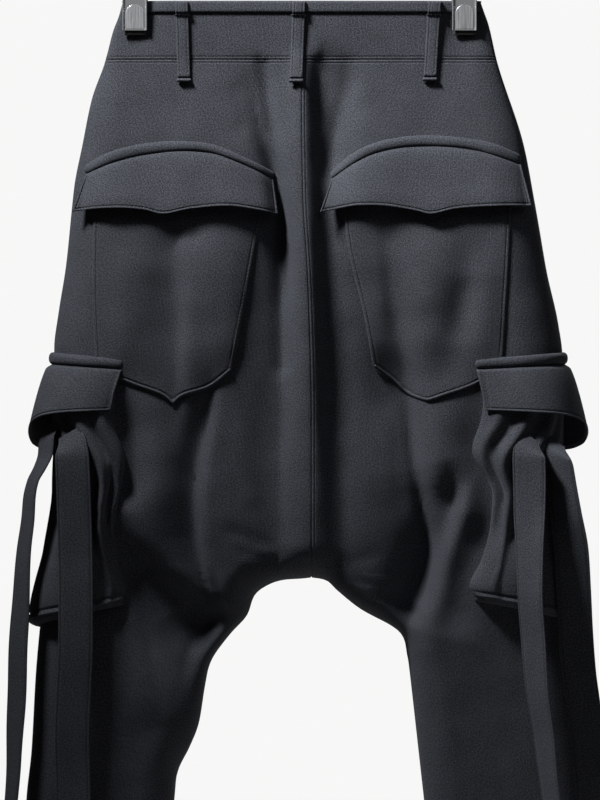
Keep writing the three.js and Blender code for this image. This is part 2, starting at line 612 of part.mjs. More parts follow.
const cargoWeltTop = follow(CARGO_WELT, "turn", "top");
const cargoWeltLow = follow(CARGO_WELT, "turn", "low");
const cargoFlapLow = follow(CARGO_FLAP, "turn", "low");
const cargoFlapOut = follow(CARGO_FLAP, "turn", "standOff");

function cargoWelt(side, { weltInner }) {
  return CARGO_WELT_STEPS.map(([share, out]) => FLAP_TURNS.map((turn) => {
    const drop = mix(cargoWeltTop(turn), cargoWeltLow(turn), share);
    return wrapPoint(side, mix(...weltInner, share), turn, drop, out);
  }));
}
function cargoFlap(side, { flapInner }) {
  return CARGO_FLAP_STEPS.map((share) => FLAP_TURNS.map((turn) => {
    const drop = mix(cargoWeltLow(turn) + CLEARANCE, cargoFlapLow(turn), share);
    const out = mix(CARGO_FLAP_ROOT, cargoFlapOut(turn), share ** 0.7);
    return wrapPoint(side, mix(...flapInner, share), turn, drop, out);
  }));
}
const edgeShape = (turn) => Math.min(1, rounded((1 - Math.abs(turn)) / BAG_ROUNDING));
const cargoShape = ({ bag, bagLow }) => ({
  inner: follow(bag, "share", "inner"),
  bulge: follow(bag, "share", "bulge"),
  low: follow(table("turn drop", [[-1, bagLow[0]], [0, bagLow[1]], [1, bagLow[2]]]), "turn", "drop"),
});
function cargoBag(side, cargo) {
  const { inner, bulge, low } = cargoShape(cargo);
  const rows = [...cargo.bag.map(({ share }) => [share, 1]), ...BAG_UNDERSIDE];
  return rows.map(([share, shape]) => BAG_TURNS.map((turn, column) => {
    const drop = mix(CARGO_BAG_TOP, low(turn), share);
    const edge = Math.abs(turn) === 1 || shape === null;
    const crest = column % 2 ? GATHER.depth : -GATHER.depth;
    const wave = crest * Math.exp(-(((share - GATHER.share) / GATHER.width) ** 2));
    const out = edge ? TUCK : (bulge(share) * shape + (shape === 1 ? wave : 0)) * edgeShape(turn);
    return wrapPoint(side, inner(share), turn, drop, out);
  }));
}

const cargoGuards = {};
for (const [side, word] of SIDE_NAMES) {
  const pocket = BACK_POCKETS[side];
  const legs = [core(panels[`back_${word}`], CLEARANCE), core(panels[`front_${word}`], CLEARANCE)];
  const overBag = core(panels[`back_${word}`], bagTop(pocket, CLEARANCE));
  const overPocket = prism(BACK, pocket.bag).intersect(overBag);
  const sense = -side;
  const bagSheet = cargoBag(side, CARGO[side]);
  cargoGuards[side] = sheetGuard(bagSheet, sense, POCKET_WALL);
  add(`cargo_bag_${word}`, sheetWall(bagSheet, sense, POCKET_WALL, legs));
  const welt = sheetWall(cargoWelt(side, CARGO[side]), sense, CARGO_WELT_THICKNESS, [...legs, overPocket]);
  add(`cargo_welt_${word}`, welt);
  const flapCutters = [...legs, overPocket, cargoGuards[side]];
  add(`cargo_flap_${word}`, sheetWall(cargoFlap(side, CARGO[side]), sense, POCKET_WALL, flapCutters));
}

// Straps: they come out under the cargo flaps and hang free down the legs. "turn" is how far the
// strap is turned from facing back, in degrees: its right edge swings to the back.
const STRAPS = {
  strap_left_inner: { side: LEFT, path: table("drop x turn", [
    [472, -256, 12], [500, -254, 10], [540, -252.5, 8], [580, -251.5, 4], [614, -250.6, 4], [650, -250.3, 4],
    [702, -250.3, 3], [760, -253, 2], [803, -254.5, 2], [878, -253.5, 4], [960, -254, 6], [990, -255, 8],
  ]) },
  strap_left_outer: { side: LEFT, path: table("drop x turn", [
    [464, -275, 58], [479, -284, 60], [497, -286, 64], [512, -292, 68], [526, -299.5, 70], [545, -304, 68],
    [568, -306, 66],
    [600, -309.5, 63], [645, -312, 58], [690, -314, 54], [765, -317, 56], [834, -321, 64], [878, -324, 66],
    [950, -327, 64], [996, -328, 62],
  ]) },
  strap_right_inner: { side: RIGHT, path: table("drop x turn", [
    [474, 240.5, 22], [500, 241.3, 20], [548, 242, 24], [600, 241.6, 40], [650, 242.5, 48], [702, 245.3, 50],
    [760, 250, 54], [803, 256.2, 56], [878, 265.4, 61], [950, 270, 60], [985, 272, 58],
  ]) },
  strap_right_outer: { side: RIGHT, path: table("drop x turn", [
    [480, 270, 40], [500, 273.5, 44], [522, 276.5, 40], [561, 282, 26], [603, 288.2, 8], [640, 290.5, 2],
    [690, 293, 4], [730, 296, 8], [782, 303, 8], [878, 312, 8], [950, 316, 10], [992, 318, 10],
  ]) },
};
const STRAP_CLEAR = 3; // between a strap and the cargo bag under it
const STRAP_ROOT = 5; // how deep a strap's sewn end reaches into the bag before it is cut back
const STRAP_LEAN = 1; // how far a strap leans back to the leg from one row to the next
const STRAP_BESIDE = 30; // depth at which the left outer strap hangs beside the leg

// How far back the cargo bag reaches at x
function bagReach(side, shape, x, drop) {
  const share = (drop - CARGO_BAG_TOP) / (shape.low(-0.5) - CARGO_BAG_TOP);
  if (share > 1.04) return clothDepth(BACK, x, drop);
  const edge = seamX[side](drop);
  const across = THREE.MathUtils.clamp((x - edge) / (shape.inner(share) - edge), 0, 1);
  const turn = (-Math.acos(1 - across) * 2) / Math.PI;
  return -wrapPoint(side, shape.inner(share), turn, drop, shape.bulge(share) + GATHER.depth).y;
}
function strapGrid({ side, path }, beside) {
  const shape = cargoShape(CARGO[side]);
  let reach = 0;
  return path.map(({ drop, x, turn }, row) => {
    const angle = THREE.MathUtils.degToRad(turn);
    const half = { x: (STRAP_WIDTH / 2) * Math.cos(angle), y: (STRAP_WIDTH / 2) * Math.sin(angle) };
    const under = Math.max(...[-1, 0, 1].map((u) => bagReach(side, shape, x + u * half.x, drop)));
    reach = Math.max(reach - STRAP_LEAN, under + STRAP_CLEAR + half.y);
    const root = row === 0 ? STRAP_CLEAR + STRAP_ROOT + half.y : 0;
    const depth = beside ?? reach - root;
    return [-1, 0, 1].map((u) => place(x + u * half.x, -depth - u * half.y, drop));
  });
}
for (const [name, strap] of Object.entries(STRAPS)) {
  const beside = name === "strap_left_outer" ? STRAP_BESIDE : null;
  add(name, sheetWall(strapGrid(strap, beside), BACK, WALL, [cargoGuards[strap.side]]));
}

// Belt loops: flat strips over the binding and the waist seam, with a folded bar at the lower end
const BELT_LOOPS = table("name face topX lowX low", [
  ["back_left", BACK, -136.6, -133.8, 89], ["back_centre", BACK, -7.5, -11, 90],
  ["back_right", BACK, 141.4, 135.7, 88], ["front_left", FRONT, -120, -120, 88],
  ["front_right", FRONT, 112, 112, 88],
]);
const LOOP_STEPS = table("share out", [
  [0.005, 6], [0.14, 6], [0.24, 3.6], [0.6, 3.3], [0.75, 3.4], [0.9, 3.4], [0.94, 5], [1, 5],
]);
for (const { name, face, topX, lowX, low } of BELT_LOOPS) {
  const grid = LOOP_STEPS.map(({ share, out }) => {
    const x = mix(topX, lowX, share);
    const half = LOOP_WIDTH / 2;
    const under = Math.max(...[-1, -0.5, 0, 0.5, 1].map((u) => clothDepth(face, x + u * half, low * share)));
    return [-1, 0, 1].map((u) => place(x + u * half, face * (under + out), low * share));
  });
  const word = face === BACK ? "back" : "front";
  const bands = face === BACK ? ["waistband_back"] : ["waistband_front_left", "waistband_front_right"];
  const cutters = [
    ...bands.map((band) => core(panels[band], CLEARANCE)),
    ...SIDE_NAMES.map(([, side]) => core(panels[`${word}_${side}`], CLEARANCE)),
  ];
  add(`belt_loop_${name}`, sheetWall(grid, face, LOOP_THICKNESS, cutters));
}

// Front fastening, plain: the band's overlap with its button, and the fly's facing
const FLY = { width: 38, low: 236 };
// Its rounded lower corner: height above the low end, and share of the width
const FLY_CURVE = table("above share", [[50, 1], [20, 0.85], [4, 0.45]]);
const BUTTON = { radius: 8.5, thickness: 3, drop: 38, inset: 15 };
const TAB = { width: 30, top: BINDING_DROP + 0.5, low: BAND_DROP - 1.5, proud: 2.4 };
const tabEdges = rectangle(frontCentre + SEAM_GAP, frontCentre + TAB.width, TAB.top, TAB.low);
add("waistband_tab", patch(panels.waistband_front_right, tabEdges, CLEARANCE, TAB.proud));
const buttonX = frontCentre + BUTTON.inset;
const button = new THREE.CylinderGeometry(BUTTON.radius, BUTTON.radius, BUTTON.thickness, 20);
const buttonSeat = clothDepth(FRONT, buttonX, BUTTON.drop) + TAB.proud + 2 * CLEARANCE;
const buttonAt = place(buttonX, buttonSeat + BUTTON.thickness / 2, BUTTON.drop);
button.translate(buttonAt.x, buttonAt.y, buttonAt.z);
add("waist_button", button, buttonHorn);
const flySpot = (drop, width) => [centreX(drop) + width, drop];
const flyTop = BAND_DROP + SEAM_GAP;
const flyCurve = FLY_CURVE.map(({ above, share }) => flySpot(FLY.low - above, FLY.width * share));
const flyEdges = [
  [flySpot(flyTop, SEAM_GAP), flySpot(flyTop, FLY.width)],
  [flySpot(flyTop, FLY.width), flyCurve[0]],
  [...flyCurve, flySpot(FLY.low, SEAM_GAP)],
  [flySpot(FLY.low, SEAM_GAP), flySpot(flyTop, SEAM_GAP)],
];
add("fly_placket", patch(panels.front_right, flyEdges, CLEARANCE, CLEARANCE + POCKET_WALL));

// Hanger: a steel rod with a hook, and two folded clips with rubber pads that grip the waistband
const ROD = { radius: 3, z: -82, from: -218, to: 204 };
const rod = new THREE.CylinderGeometry(ROD.radius, ROD.radius, ROD.to - ROD.from, 16);
rod.rotateZ(Math.PI / 2);
rod.translate((ROD.from + ROD.to) / 2, 0, ROD.z);
add("hanger_rod", rod, steel);

const HOOK = { wire: 2, bend: 20, from: -30, to: 180 }; // degrees round the bend
const HOOK_STEM = table("x z", [[0, -66], [1.5, -52], [9, -39]]);
const hookCentre = HOOK.wire - HOOK.bend;
const hookArc = evenly(HOOK.from, HOOK.to, 12).map((degrees) => {
  const angle = THREE.MathUtils.degToRad(degrees);
  return new THREE.Vector3(HOOK.bend * Math.cos(angle), 0, hookCentre + HOOK.bend * Math.sin(angle));
});
const hookPath = new THREE.CatmullRomCurve3([
  new THREE.Vector3(0, 0, ROD.z + ROD.radius + SEAM_GAP),
  ...HOOK_STEM.map(({ x, z }) => new THREE.Vector3(x, 0, z)), ...hookArc,
]);
const ring = (radius, sides) => new THREE.Shape(Array.from({ length: sides }, (_, i) => {
  const angle = (i / sides) * 2 * Math.PI;
  return new THREE.Vector2(radius * Math.cos(angle), radius * Math.sin(angle));
}));
const hook = new THREE.ExtrudeGeometry(ring(HOOK.wire, 8), { steps: 30, extrudePath: hookPath });
add("hanger_hook", hook, steel);

const PAD = { width: 21, thickness: 2.5, top: 2, low: 37 };
const CLIP = { width: 27, sheet: 1.5, low: 32, shoulder: 6, crown: 3.6 };
const padInner = CLIP_PINCH.depth + BINDING_PROUD + 2 * CLEARANCE;
const jawInner = padInner + PAD.thickness + SEAM_GAP;
// Half of the clip's side view, [y, z], from the crown over the rod down to the jaw's tip
const clipHalf = (out) => [
  [CLIP.crown + out, ROD.z + ROD.radius + SEAM_GAP + out],
  [CLIP.crown + out, ROD.z - CLIP.shoulder],
  [jawInner + out, ROD.z - 3 * CLIP.shoulder],
  [jawInner + out, -HOOK_TO_WAIST - CLIP.low],
];
function clipGeometry(x) {
  const outer = clipHalf(CLIP.sheet);
  const inner = clipHalf(0);
  const mirrored = (half) => half.map(([y, z]) => [-y, z]);
  const outline = [...outer, ...[...inner].reverse(), ...mirrored(inner), ...mirrored(outer).reverse()];
  const shape = new THREE.Shape(outline.map(([y, z]) => new THREE.Vector2(y, z)));
  const geometry = new THREE.ExtrudeGeometry(shape, { depth: CLIP.width, bevelEnabled: false, steps: 1 });
  // The shape's x and y become Y and Z, and its depth becomes X
  geometry.applyMatrix4(new THREE.Matrix4().makeBasis(
    new THREE.Vector3(0, 1, 0), new THREE.Vector3(0, 0, 1), new THREE.Vector3(1, 0, 0)));
  geometry.translate(x - CLIP.width / 2, 0, 0);
  return geometry;
}
for (const [side, word] of SIDE_NAMES) {
  const x = CLIP_X[side];
  add(`clip_${word}`, clipGeometry(x), steel);
  for (const [face, name] of [[BACK, "back"], [FRONT, "front"]]) {
    const pad = new THREE.BoxGeometry(PAD.width, PAD.thickness, PAD.low - PAD.top);
    const middle = place(x, face * (padInner + PAD.thickness / 2), (PAD.top + PAD.low) / 2);
    pad.translate(middle.x, middle.y, middle.z);
    add(`clip_pad_${word}_${name}`, pad, rubber);
  }
}

export default trousers;
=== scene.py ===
# %% [markdown]
# Harem trousers with a low crotch, hanging by their waistband from a hanger with two clips.
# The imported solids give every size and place. This lesson dresses them: each cloth piece is made
# again as a fine sheet on its solid's own form, and each hard piece gets its real shape and finish.

# %% Load the frame
import math

import bpy
import numpy as np
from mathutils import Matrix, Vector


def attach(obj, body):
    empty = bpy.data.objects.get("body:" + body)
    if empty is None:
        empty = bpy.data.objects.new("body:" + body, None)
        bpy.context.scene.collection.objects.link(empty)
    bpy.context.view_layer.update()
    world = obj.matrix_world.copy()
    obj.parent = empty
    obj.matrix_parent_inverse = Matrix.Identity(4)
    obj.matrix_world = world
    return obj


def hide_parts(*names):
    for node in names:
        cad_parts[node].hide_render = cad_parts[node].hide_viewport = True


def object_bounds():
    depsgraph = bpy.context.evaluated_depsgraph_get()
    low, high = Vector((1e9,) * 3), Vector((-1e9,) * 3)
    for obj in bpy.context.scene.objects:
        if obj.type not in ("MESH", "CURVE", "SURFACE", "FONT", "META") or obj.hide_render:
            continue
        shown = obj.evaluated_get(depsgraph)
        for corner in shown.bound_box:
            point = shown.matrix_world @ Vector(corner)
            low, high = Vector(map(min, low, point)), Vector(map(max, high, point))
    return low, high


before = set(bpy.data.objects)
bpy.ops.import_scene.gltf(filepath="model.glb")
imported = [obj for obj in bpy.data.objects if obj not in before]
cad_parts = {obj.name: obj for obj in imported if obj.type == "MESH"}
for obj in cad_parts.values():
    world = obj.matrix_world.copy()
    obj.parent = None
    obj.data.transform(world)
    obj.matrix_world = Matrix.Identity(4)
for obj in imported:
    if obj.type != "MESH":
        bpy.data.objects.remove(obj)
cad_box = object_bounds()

print("CAD nodes:", len(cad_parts))

# %% [markdown]
# The camera comes first. The trousers are seen from behind, square on, with a long lens from five
# metres, so that near and far pieces keep nearly the same scale. The lens is worked out from the
# height of the hanging plane that the frame takes in.

# %% Camera
FRAME_HEIGHT = 0.880
CAMERA_DISTANCE = 5.0
CAMERA_AIM = (-0.0066, -0.5478)  # x and z of the frame's centre
SENSOR = 36.0


def added(operator, **settings):
    """What an operator adds, with nothing else selected."""
    bpy.ops.object.select_all(action="DESELECT")
    operator(**settings)
    return bpy.context.object


camera = added(bpy.ops.object.camera_add, rotation=(math.pi / 2, 0, 0),
               location=(CAMERA_AIM[0], -CAMERA_DISTANCE, CAMERA_AIM[1]))
camera.data.sensor_width = SENSOR
camera.data.lens = SENSOR * CAMERA_DISTANCE / FRAME_HEIGHT
camera.data.dof.use_dof = False
bpy.context.scene.camera = camera
print("lens", round(camera.data.lens, 1), "mm")

# %% [markdown]
# Charcoal cloth shows its folds only under light that grazes it. The key is a small lamp high on the
# viewer's left with a narrow beam. A weak lamp on the right opens the shadows, a third lights the
# side away from the camera, and the pale surroundings look white but fill only a little.

# %% Floor, surroundings and lamps
FLOOR_BELOW = 0.11
FLOOR_SIZE = 4.4
PALE = (0.93, 0.93, 0.925)
FLOOR_GREY = (0.5, 0.5, 0.49)
middle = (cad_box[0] + cad_box[1]) / 2

floor = added(bpy.ops.mesh.primitive_plane_add, size=FLOOR_SIZE,
              location=(0, 0, cad_box[0].z - FLOOR_BELOW))
floor.name = "studio_floor"
floor_paint = bpy.data.materials.new("floor_paint")
floor_paint.use_nodes = True
paint = floor_paint.node_tree.nodes["Principled BSDF"].inputs
paint["Base Color"].default_value = (*FLOOR_GREY, 1)
paint["Roughness"].default_value = 0.9
floor.data.materials.append(floor_paint)

SURROUND_LIGHT = 0.03
SURROUND_SEEN = 1.0
world = bpy.data.worlds.new("studio")
world.use_nodes = True
bpy.context.scene.world = world
tree = world.node_tree
backdrop = tree.nodes["Background"]
backdrop.inputs["Color"].default_value = (*PALE, 1)
seen = tree.nodes.new("ShaderNodeLightPath")
strength = tree.nodes.new("ShaderNodeMapRange")
strength.inputs["To Min"].default_value = SURROUND_LIGHT
strength.inputs["To Max"].default_value = SURROUND_SEEN
tree.links.new(seen.outputs["Is Camera Ray"], strength.inputs["Value"])
tree.links.new(strength.outputs["Result"], backdrop.inputs["Strength"])


def lamp(name, place, size, watts, aim=middle, spread=180):
    """A soft rectangular lamp that faces a place, with a grid that narrows its beam to a spread."""
    made = added(bpy.ops.object.light_add, type="AREA", location=place)
    made.name = name
    made.data.shape = "RECTANGLE"
    made.data.size, made.data.size_y = size
    made.data.energy = watts
    made.data.spread = math.radians(spread)
    made.rotation_euler = (aim - made.location).to_track_quat("-Z", "Y").to_euler()


waist = type(middle)((0.07, 0, -0.02))
lamp("key_lamp", (-1.0, -0.64, 1.22), (0.4, 0.3), 14, waist, 60)
lamp("side_lamp", (0.9, -0.95, 0.9), (0.6, 0.4), 1.8)
lamp("front_lamp", (0.5, 1.6, 1.0), (1.2, 0.9), 30)
bpy.context.scene.view_settings.view_transform = "Standard"

# %% [markdown]
# The cut of the trousers is kept as short tables, in millimetres, the same as those of the solids.
# A "drop" is a distance below the waist's top edge. The back faces -Y, and left is -X.

# %% Driving sizes
HOOK_TO_WAIST = 110
BAND_DROP = 64
CROTCH_DROP = 633
HEM_DROP = 1030
SEAM_GAP = -0.2  # neighbouring sheets run a little past their seam, so that no light shows through
CLOTH_WALL = 2.0
LINING_WALL = 1.8
CLEARANCE = 0.4
BACK, FRONT, LEFT, RIGHT = -1, 1, -1, 1
SIDES = {"left": LEFT, "right": RIGHT}

SIDE_SEAM = {
    LEFT: [
        (0, -201.5), (17, -206.3), (31, -211.8), (58, -218.9), (68, -221.7), (107, -235.6), (158, -246.1),
        (200, -254.5), (218, -256.6), (290, -264), (343, -272.4), (381, -277), (450, -276), (535, -274),
        (600, -281), (655, -289), (736, -297), (824, -302), (878, -307.6), (1030, -312)],
    RIGHT: [
        (0, 192), (10, 195.5), (25, 200.8), (65, 210.1), (158, 239.7), (218, 251.2), (248, 256.5),
        (297, 264.9), (354, 277.5), (390, 282), (450, 281), (535, 279), (600, 287), (683, 297),
        (784, 305.8), (878, 312.4), (1030, 316)],
}
CENTRE_SEAM = [(0, -4.6), (97, -4.6), (207, -3.4), (301, 1.9), (353, 4), (449, 6.1), (CROTCH_DROP, 6.1)]
INSEAM = {
    LEFT: [
        (-6.6, 634.4), (-25.3, 635.8), (-41.9, 641.3), (-56.7, 652.7), (-65.1, 674.9), (-84, 695.9),
        (-104, 724), (-111, 752), (-117.7, 792.7), (-128.3, 820), (-140.8, 846), (-145, 880),
        (-158, HEM_DROP)],
    RIGHT: [
        (22.9, 636.5), (35.2, 648), (60.5, 668), (94.4, 686.4), (107, 699), (111.1, 718),
        (114.4, 740.3), (129.8, 877.8), (147, HEM_DROP)],
}
DEPTH_DOWN = [
    (0, 6.5), (30, 8), (64, 9.5), (110, 15), (160, 23), (240, 34), (350, 43), (450, 50), (560, 54),
    (633, 51), (700, 45), (800, 40), (HEM_DROP, 34)]
REACH_DOWN = [
    (0, 12), (30, 20), (64, 30), (110, 36), (160, 42), (240, 48), (350, 52), (450, 54), (560, 54),
    (633, 54), (700, 52), (800, 50), (HEM_DROP, 46)]
INSEAM_REACH = 40
CLIP_X = {LEFT: -188, RIGHT: 174}
CLIP_PINCH = {"width": 24, "drop": 90, "share": 0.7, "depth": 2.9}

# %% [markdown]
# A knit this heavy falls in a few broad folds. Each is a trough or a ridge along a path, with its own
# width to either side, so the dips stay as uneven as real ones. The solids have wide folds of their
# own close to these, and the thin creases are added only here.

# %% Tables of folds and creases
# Depth, width to the left and to the right, how much of the depth is there at the start and at the
# end of the path, and the path, by x and drop
FOLDS = {
    BACK: [
        (6, 16, 14, 1, 0.6, [(-4.6, 66), (-3.4, 207), (1.9, 301), (6, 449), (6, 610)]),
        (-9, 12, 8, 0.8, 0.6, [(-47, 70), (-37, 141), (-30, 201), (-27, 251), (-25, 328), (-24, 400)]),
        (-15, 38, 13, 0.1, 0.4, [(-48, 150), (-36, 230), (-30, 300), (-28, 400), (-30, 500), (-30, 600)]),
        (-7, 13, 28, 1, 0.2, [
            (17, 68), (19, 108), (23, 174), (26, 262), (30, 361), (36, 471), (42, 600), (46, 655)]),
        (-9, 54, 34, 0, 0, [(64, 220), (82, 300), (94, 370), (102, 440), (110, 520)]),
        (-20, 76, 15, 0, 0, [
            (90, 270), (99, 360), (108, 432), (117, 500), (127, 566), (131, 630), (120, 680), (100, 716)]),
        (-6, 12, 12, 0.6, 0, [(47, 68), (43, 108), (29, 163), (24, 205)]),
        (-10, 40, 8, 0, 0.2, [
            (-103, 400), (-106, 440), (-115, 482), (-122, 537), (-121, 592), (-110, 648), (-88, 672),
            (-64, 676)]),
        (-7, 26, 26, 0, 0.5, [(-142, 664), (-116, 702), (-102, 744)]),
        (-25, 60, 19, 0.2, 1, [(-222, 575), (-183, 622), (-150, 654), (-111, 683), (-60, 704)]),
        (-6, 34, 12, 0, 0, [(-152, 245), (-147, 306), (-144, 377), (-146, 438), (-150, 500)]),
        (-17, 30, 10, 0, 1, [
            (152, 500), (160, 532), (155, 566), (141, 602), (127, 642), (110, 684), (104, 716)]),
        (-7, 22, 16, 0, 0, [(184, 420), (188, 482), (197, 530), (199, 580), (190, 640)]),
        (-4, 20, 20, 0, 0, [(182, 250), (170, 340), (150, 430)]),
        (-9, 14, 18, 0, 0, [(-206, 430), (-192, 480), (-190, 520), (-202, 560)]),
        (5, 30, 30, 0, 0, [(-206, 640), (-184, 720), (-166, 800)]),
        (-6, 24, 24, 0, 0, [(184, 560), (168, 630), (156, 700)]),
    ],
    FRONT: [
        (5, 16, 16, 1, 0.6, [(-4.6, 66), (-3.4, 207), (1.9, 301), (6, 610)]),
        (-11, 18, 12, 0.4, 0.6, [(-40, 70), (-34, 200), (-40, 360), (-60, 600)]),
        (-11, 12, 18, 0.4, 0.6, [(32, 70), (30, 200), (44, 360), (66, 610)]),
        (-15, 34, 14, 0, 1, [(-118, 440), (-122, 540), (-118, 620), (-92, 668)]),
        (-15, 14, 34, 0, 1, [(118, 440), (126, 540), (124, 620), (104, 678)]),
        (-9, 24, 24, 0, 0.6, [(-210, 560), (-160, 650), (-104, 706)]),
        (-9, 24, 24, 0, 0.6, [(214, 570), (170, 660), (120, 720)]),
    ],
}
CREASES = {
    BACK: [
        (-6, 18, 6.5, 0, 0, [
            (-103, 392), (-106, 440), (-115, 482), (-122, 537), (-121, 592), (-110, 648), (-88, 674),
            (-60, 682)]),
        (5, 30, 34, 0, 0, [(-170, 380), (-164, 460), (-156, 530), (-140, 590)]),
        (-4, 7, 6, 0.1, 0.2, [(111, 432), (115, 470), (120, 518), (128, 566), (136, 610)]),
        (-3, 40, 7, 0, 0.4, [(110, 420), (120, 518), (130, 580), (132, 630), (120, 672), (104, 700)]),
        (4.4, 9, 24, 0, 0.8, [
            (204, 500), (180, 538), (158, 581), (142, 622), (126, 664), (118, 704), (117, 740)]),
        (-6, 10, 6.5, 0.2, 0, [(-66, 64), (-50, 146), (-34, 190), (-26, 234), (-21, 300), (-19, 350)]),
        (-3, 6, 4, 0, 0, [(-24, 210), (-17, 262), (-16, 330)]),
        (-5, 9, 22, 0.9, 0.3, [
            (15, 66), (16, 108), (18, 180), (19, 262), (22, 361), (26, 471), (32, 600), (38, 655)]),
        (-1.6, 7, 9, 0, 0, [(-95, 575), (-60, 590), (-25, 600)]),
        (-1.4, 6, 8, 0, 0, [(-80, 598), (-45, 612), (-15, 618)]),
        (-0.9, 7, 8, 0, 0, [(24, 606), (52, 614), (84, 604)]),
        (-2.4, 10, 8, 0, 0, [(-205, 600), (-186, 650), (-172, 700), (-160, 765)]),
        (-1.4, 8, 10, 0, 0, [(60, 100), (50, 150), (42, 190)]),
        (-1.2, 8, 10, 0, 0, [(-80, 84), (-70, 120), (-66, 150)]),
        (1.6, 12, 12, 0, 0, [(-75, 460), (-62, 520), (-58, 560)]),
        (1.4, 12, 12, 0, 0, [(84, 440), (90, 500), (92, 560)]),
        (-1.8, 9, 9, 0, 0, [(226, 560), (214, 620), (210, 690)]),
    ],
    FRONT: [
        (-1.6, 8, 8, 0, 0, [(-90, 590), (-50, 612), (-15, 620)]),
        (-1.6, 8, 8, 0, 0, [(25, 612), (60, 620), (95, 602)]),
        (-1.8, 9, 9, 0, 0, [(-210, 620), (-180, 700), (-160, 770)]),
        (-1.8, 9, 9, 0, 0, [(215, 620), (186, 700), (168, 780)]),
    ],
}
FOLD_FADE = {"side": 40, "inseam": 30, "top": 30, "top_length": 70}
print("folds:", len(FOLDS[BACK]) + len(FOLDS[FRONT]), "creases:", len(CREASES[BACK]) + len(CREASES[FRONT]))

# %% [markdown]
# Two kinds of curve turn those tables into cloth. A seam follows a smooth function of the drop that
# never overshoots its rows, and a fold follows a spline through its points.


# %% Curves
def follow(rows):
    """A smooth function through rows of (from, to), without overshoot."""
    x, y = np.array(rows, float).T
    secant = np.diff(y) / np.diff(x)
    before, after = secant[:-1], secant[1:]
    rises = before * after > 0
    slope = np.concatenate([secant[:1], np.zeros(len(before)), secant[-1:]])
    slope[1:-1][rises] = (2 * before * after)[rises] / (before + after)[rises]

    def at(value):
        value = np.clip(value, x[0], x[-1])
        i = np.clip(np.searchsorted(x, value, side="right") - 1, 0, len(x) - 2)
        span = x[i + 1] - x[i]
        t = (value - x[i]) / span
        rise = (3 - 2 * t) * t * t
        bend = slope[i] * t * (1 - t) ** 2 - slope[i + 1] * (1 - t) * t * t
        return y[i] * (1 - rise) + y[i + 1] * rise + span * bend

    return at


def spline(points, pieces):
    """Points along a Catmull-Rom curve through the given ones."""
    p = np.array(points, float)
    last = len(p) - 1
    at = np.linspace(0, last, pieces + 1)
    i = np.minimum(at.astype(int), last - 1)
    t = (at - i)[:, None]
    before, here, there, after = p[np.maximum(i - 1, 0)], p[i], p[i + 1], p[np.minimum(i + 2, last)]
    start, end = (there - before) / 2, (after - here) / 2
    return ((2 * here - 2 * there + start + end) * t**3
            + (-3 * here + 3 * there - 2 * start - end) * t**2 + start * t + here)


def nearest(line, x, drop):
    """Distance to a line of points, how far along it lies (0 to 1), and on which side."""
    a, step = line[:-1], np.diff(line, axis=0)
    px, pd = x[..., None] - a[:, 0], drop[..., None] - a[:, 1]
    t = np.clip((px * step[:, 0] + pd * step[:, 1]) / (step**2).sum(1), 0, 1)
    distance = np.hypot(px - step[:, 0] * t, pd - step[:, 1] * t)
    best = distance.argmin(-1)[..., None]
    turn = step[:, 0] * pd - step[:, 1] * px
    pick = lambda values: np.take_along_axis(values, best, -1)[..., 0]
    along = (best[..., 0] + pick(t)) / len(step)
    return pick(distance), along, np.where(pick(turn) > 0, LEFT, RIGHT)


def hump(value, height, at, width):
    """A smooth ridge or trough of a value."""
    return height * np.exp(-(((value - at) / width) ** 2))


def rounded(t):
    """A quarter circle's rise from 0 to 1."""
    return np.sqrt(1 - (1 - np.clip(t, 0, 1)) ** 2)


def eased(t):
    """A smooth step from 0 to 1."""
    t = np.clip(t, 0, 1)
    return t * t * (3 - 2 * t)


def mix(a, b, share):
    """The value a given share of the way from a to b."""
    return a + (b - a) * share


def unit(vectors):
    """Vectors made one long."""
    return vectors / np.maximum(np.linalg.norm(vectors, axis=-1, keepdims=True), 1e-12)


def index_at(values, wanted):
    """Where in a list of values the one nearest to the wanted value stands."""
    return int(np.abs(np.asarray(values) - wanted).argmin())


seam_x = {side: follow(SIDE_SEAM[side]) for side in (LEFT, RIGHT)}
centre_x = follow(CENTRE_SEAM)
depth_at = follow(DEPTH_DOWN)
reach_at = follow(REACH_DOWN)
inseam_line = {
    side: spline([(centre_x(CROTCH_DROP) + side * SEAM_GAP / 2, CROTCH_DROP), *INSEAM[side]], 60)
    for side in (LEFT, RIGHT)}
print("crotch at x", round(float(centre_x(CROTCH_DROP)), 1), "mm")

# %% [markdown]
# The cloth's face is one function: how far it stands from the plane of the side seams at any place.
# It rounds over at both side seams and along the inseam, is pinched flat under the clips, and the
# folds are added where they are clear of the seams. A trace of waviness keeps it from looking pressed.

# %% The cloth's depth
# Height, turn of the wave across and down, and its shift between back and front
WAVES = [
    (0.34, 0.061, 0.023, 0.4), (0.26, -0.047, 0.052, 1.9), (0.16, 0.113, 0.041, 3.1),
    (0.12, 0.031, 0.127, 5.2)]
FOLD_PIECES = 18
FOLD_END = 0.3  # share of a path over which its fold rises or runs out


def fold_depth(fold, x, drop):
    """What one fold adds at a place, from its row of the table."""
    depth, left, right, start, end, path = fold
    distance, along, side = nearest(spline(path, FOLD_PIECES), x, drop)
    width = np.where(side == LEFT, left, right)
    first = mix(start, 1, eased(along / FOLD_END))
    last = mix(end, 1, eased((1 - along) / FOLD_END))
    return depth * first * last * np.exp(-((distance / width) ** 2))


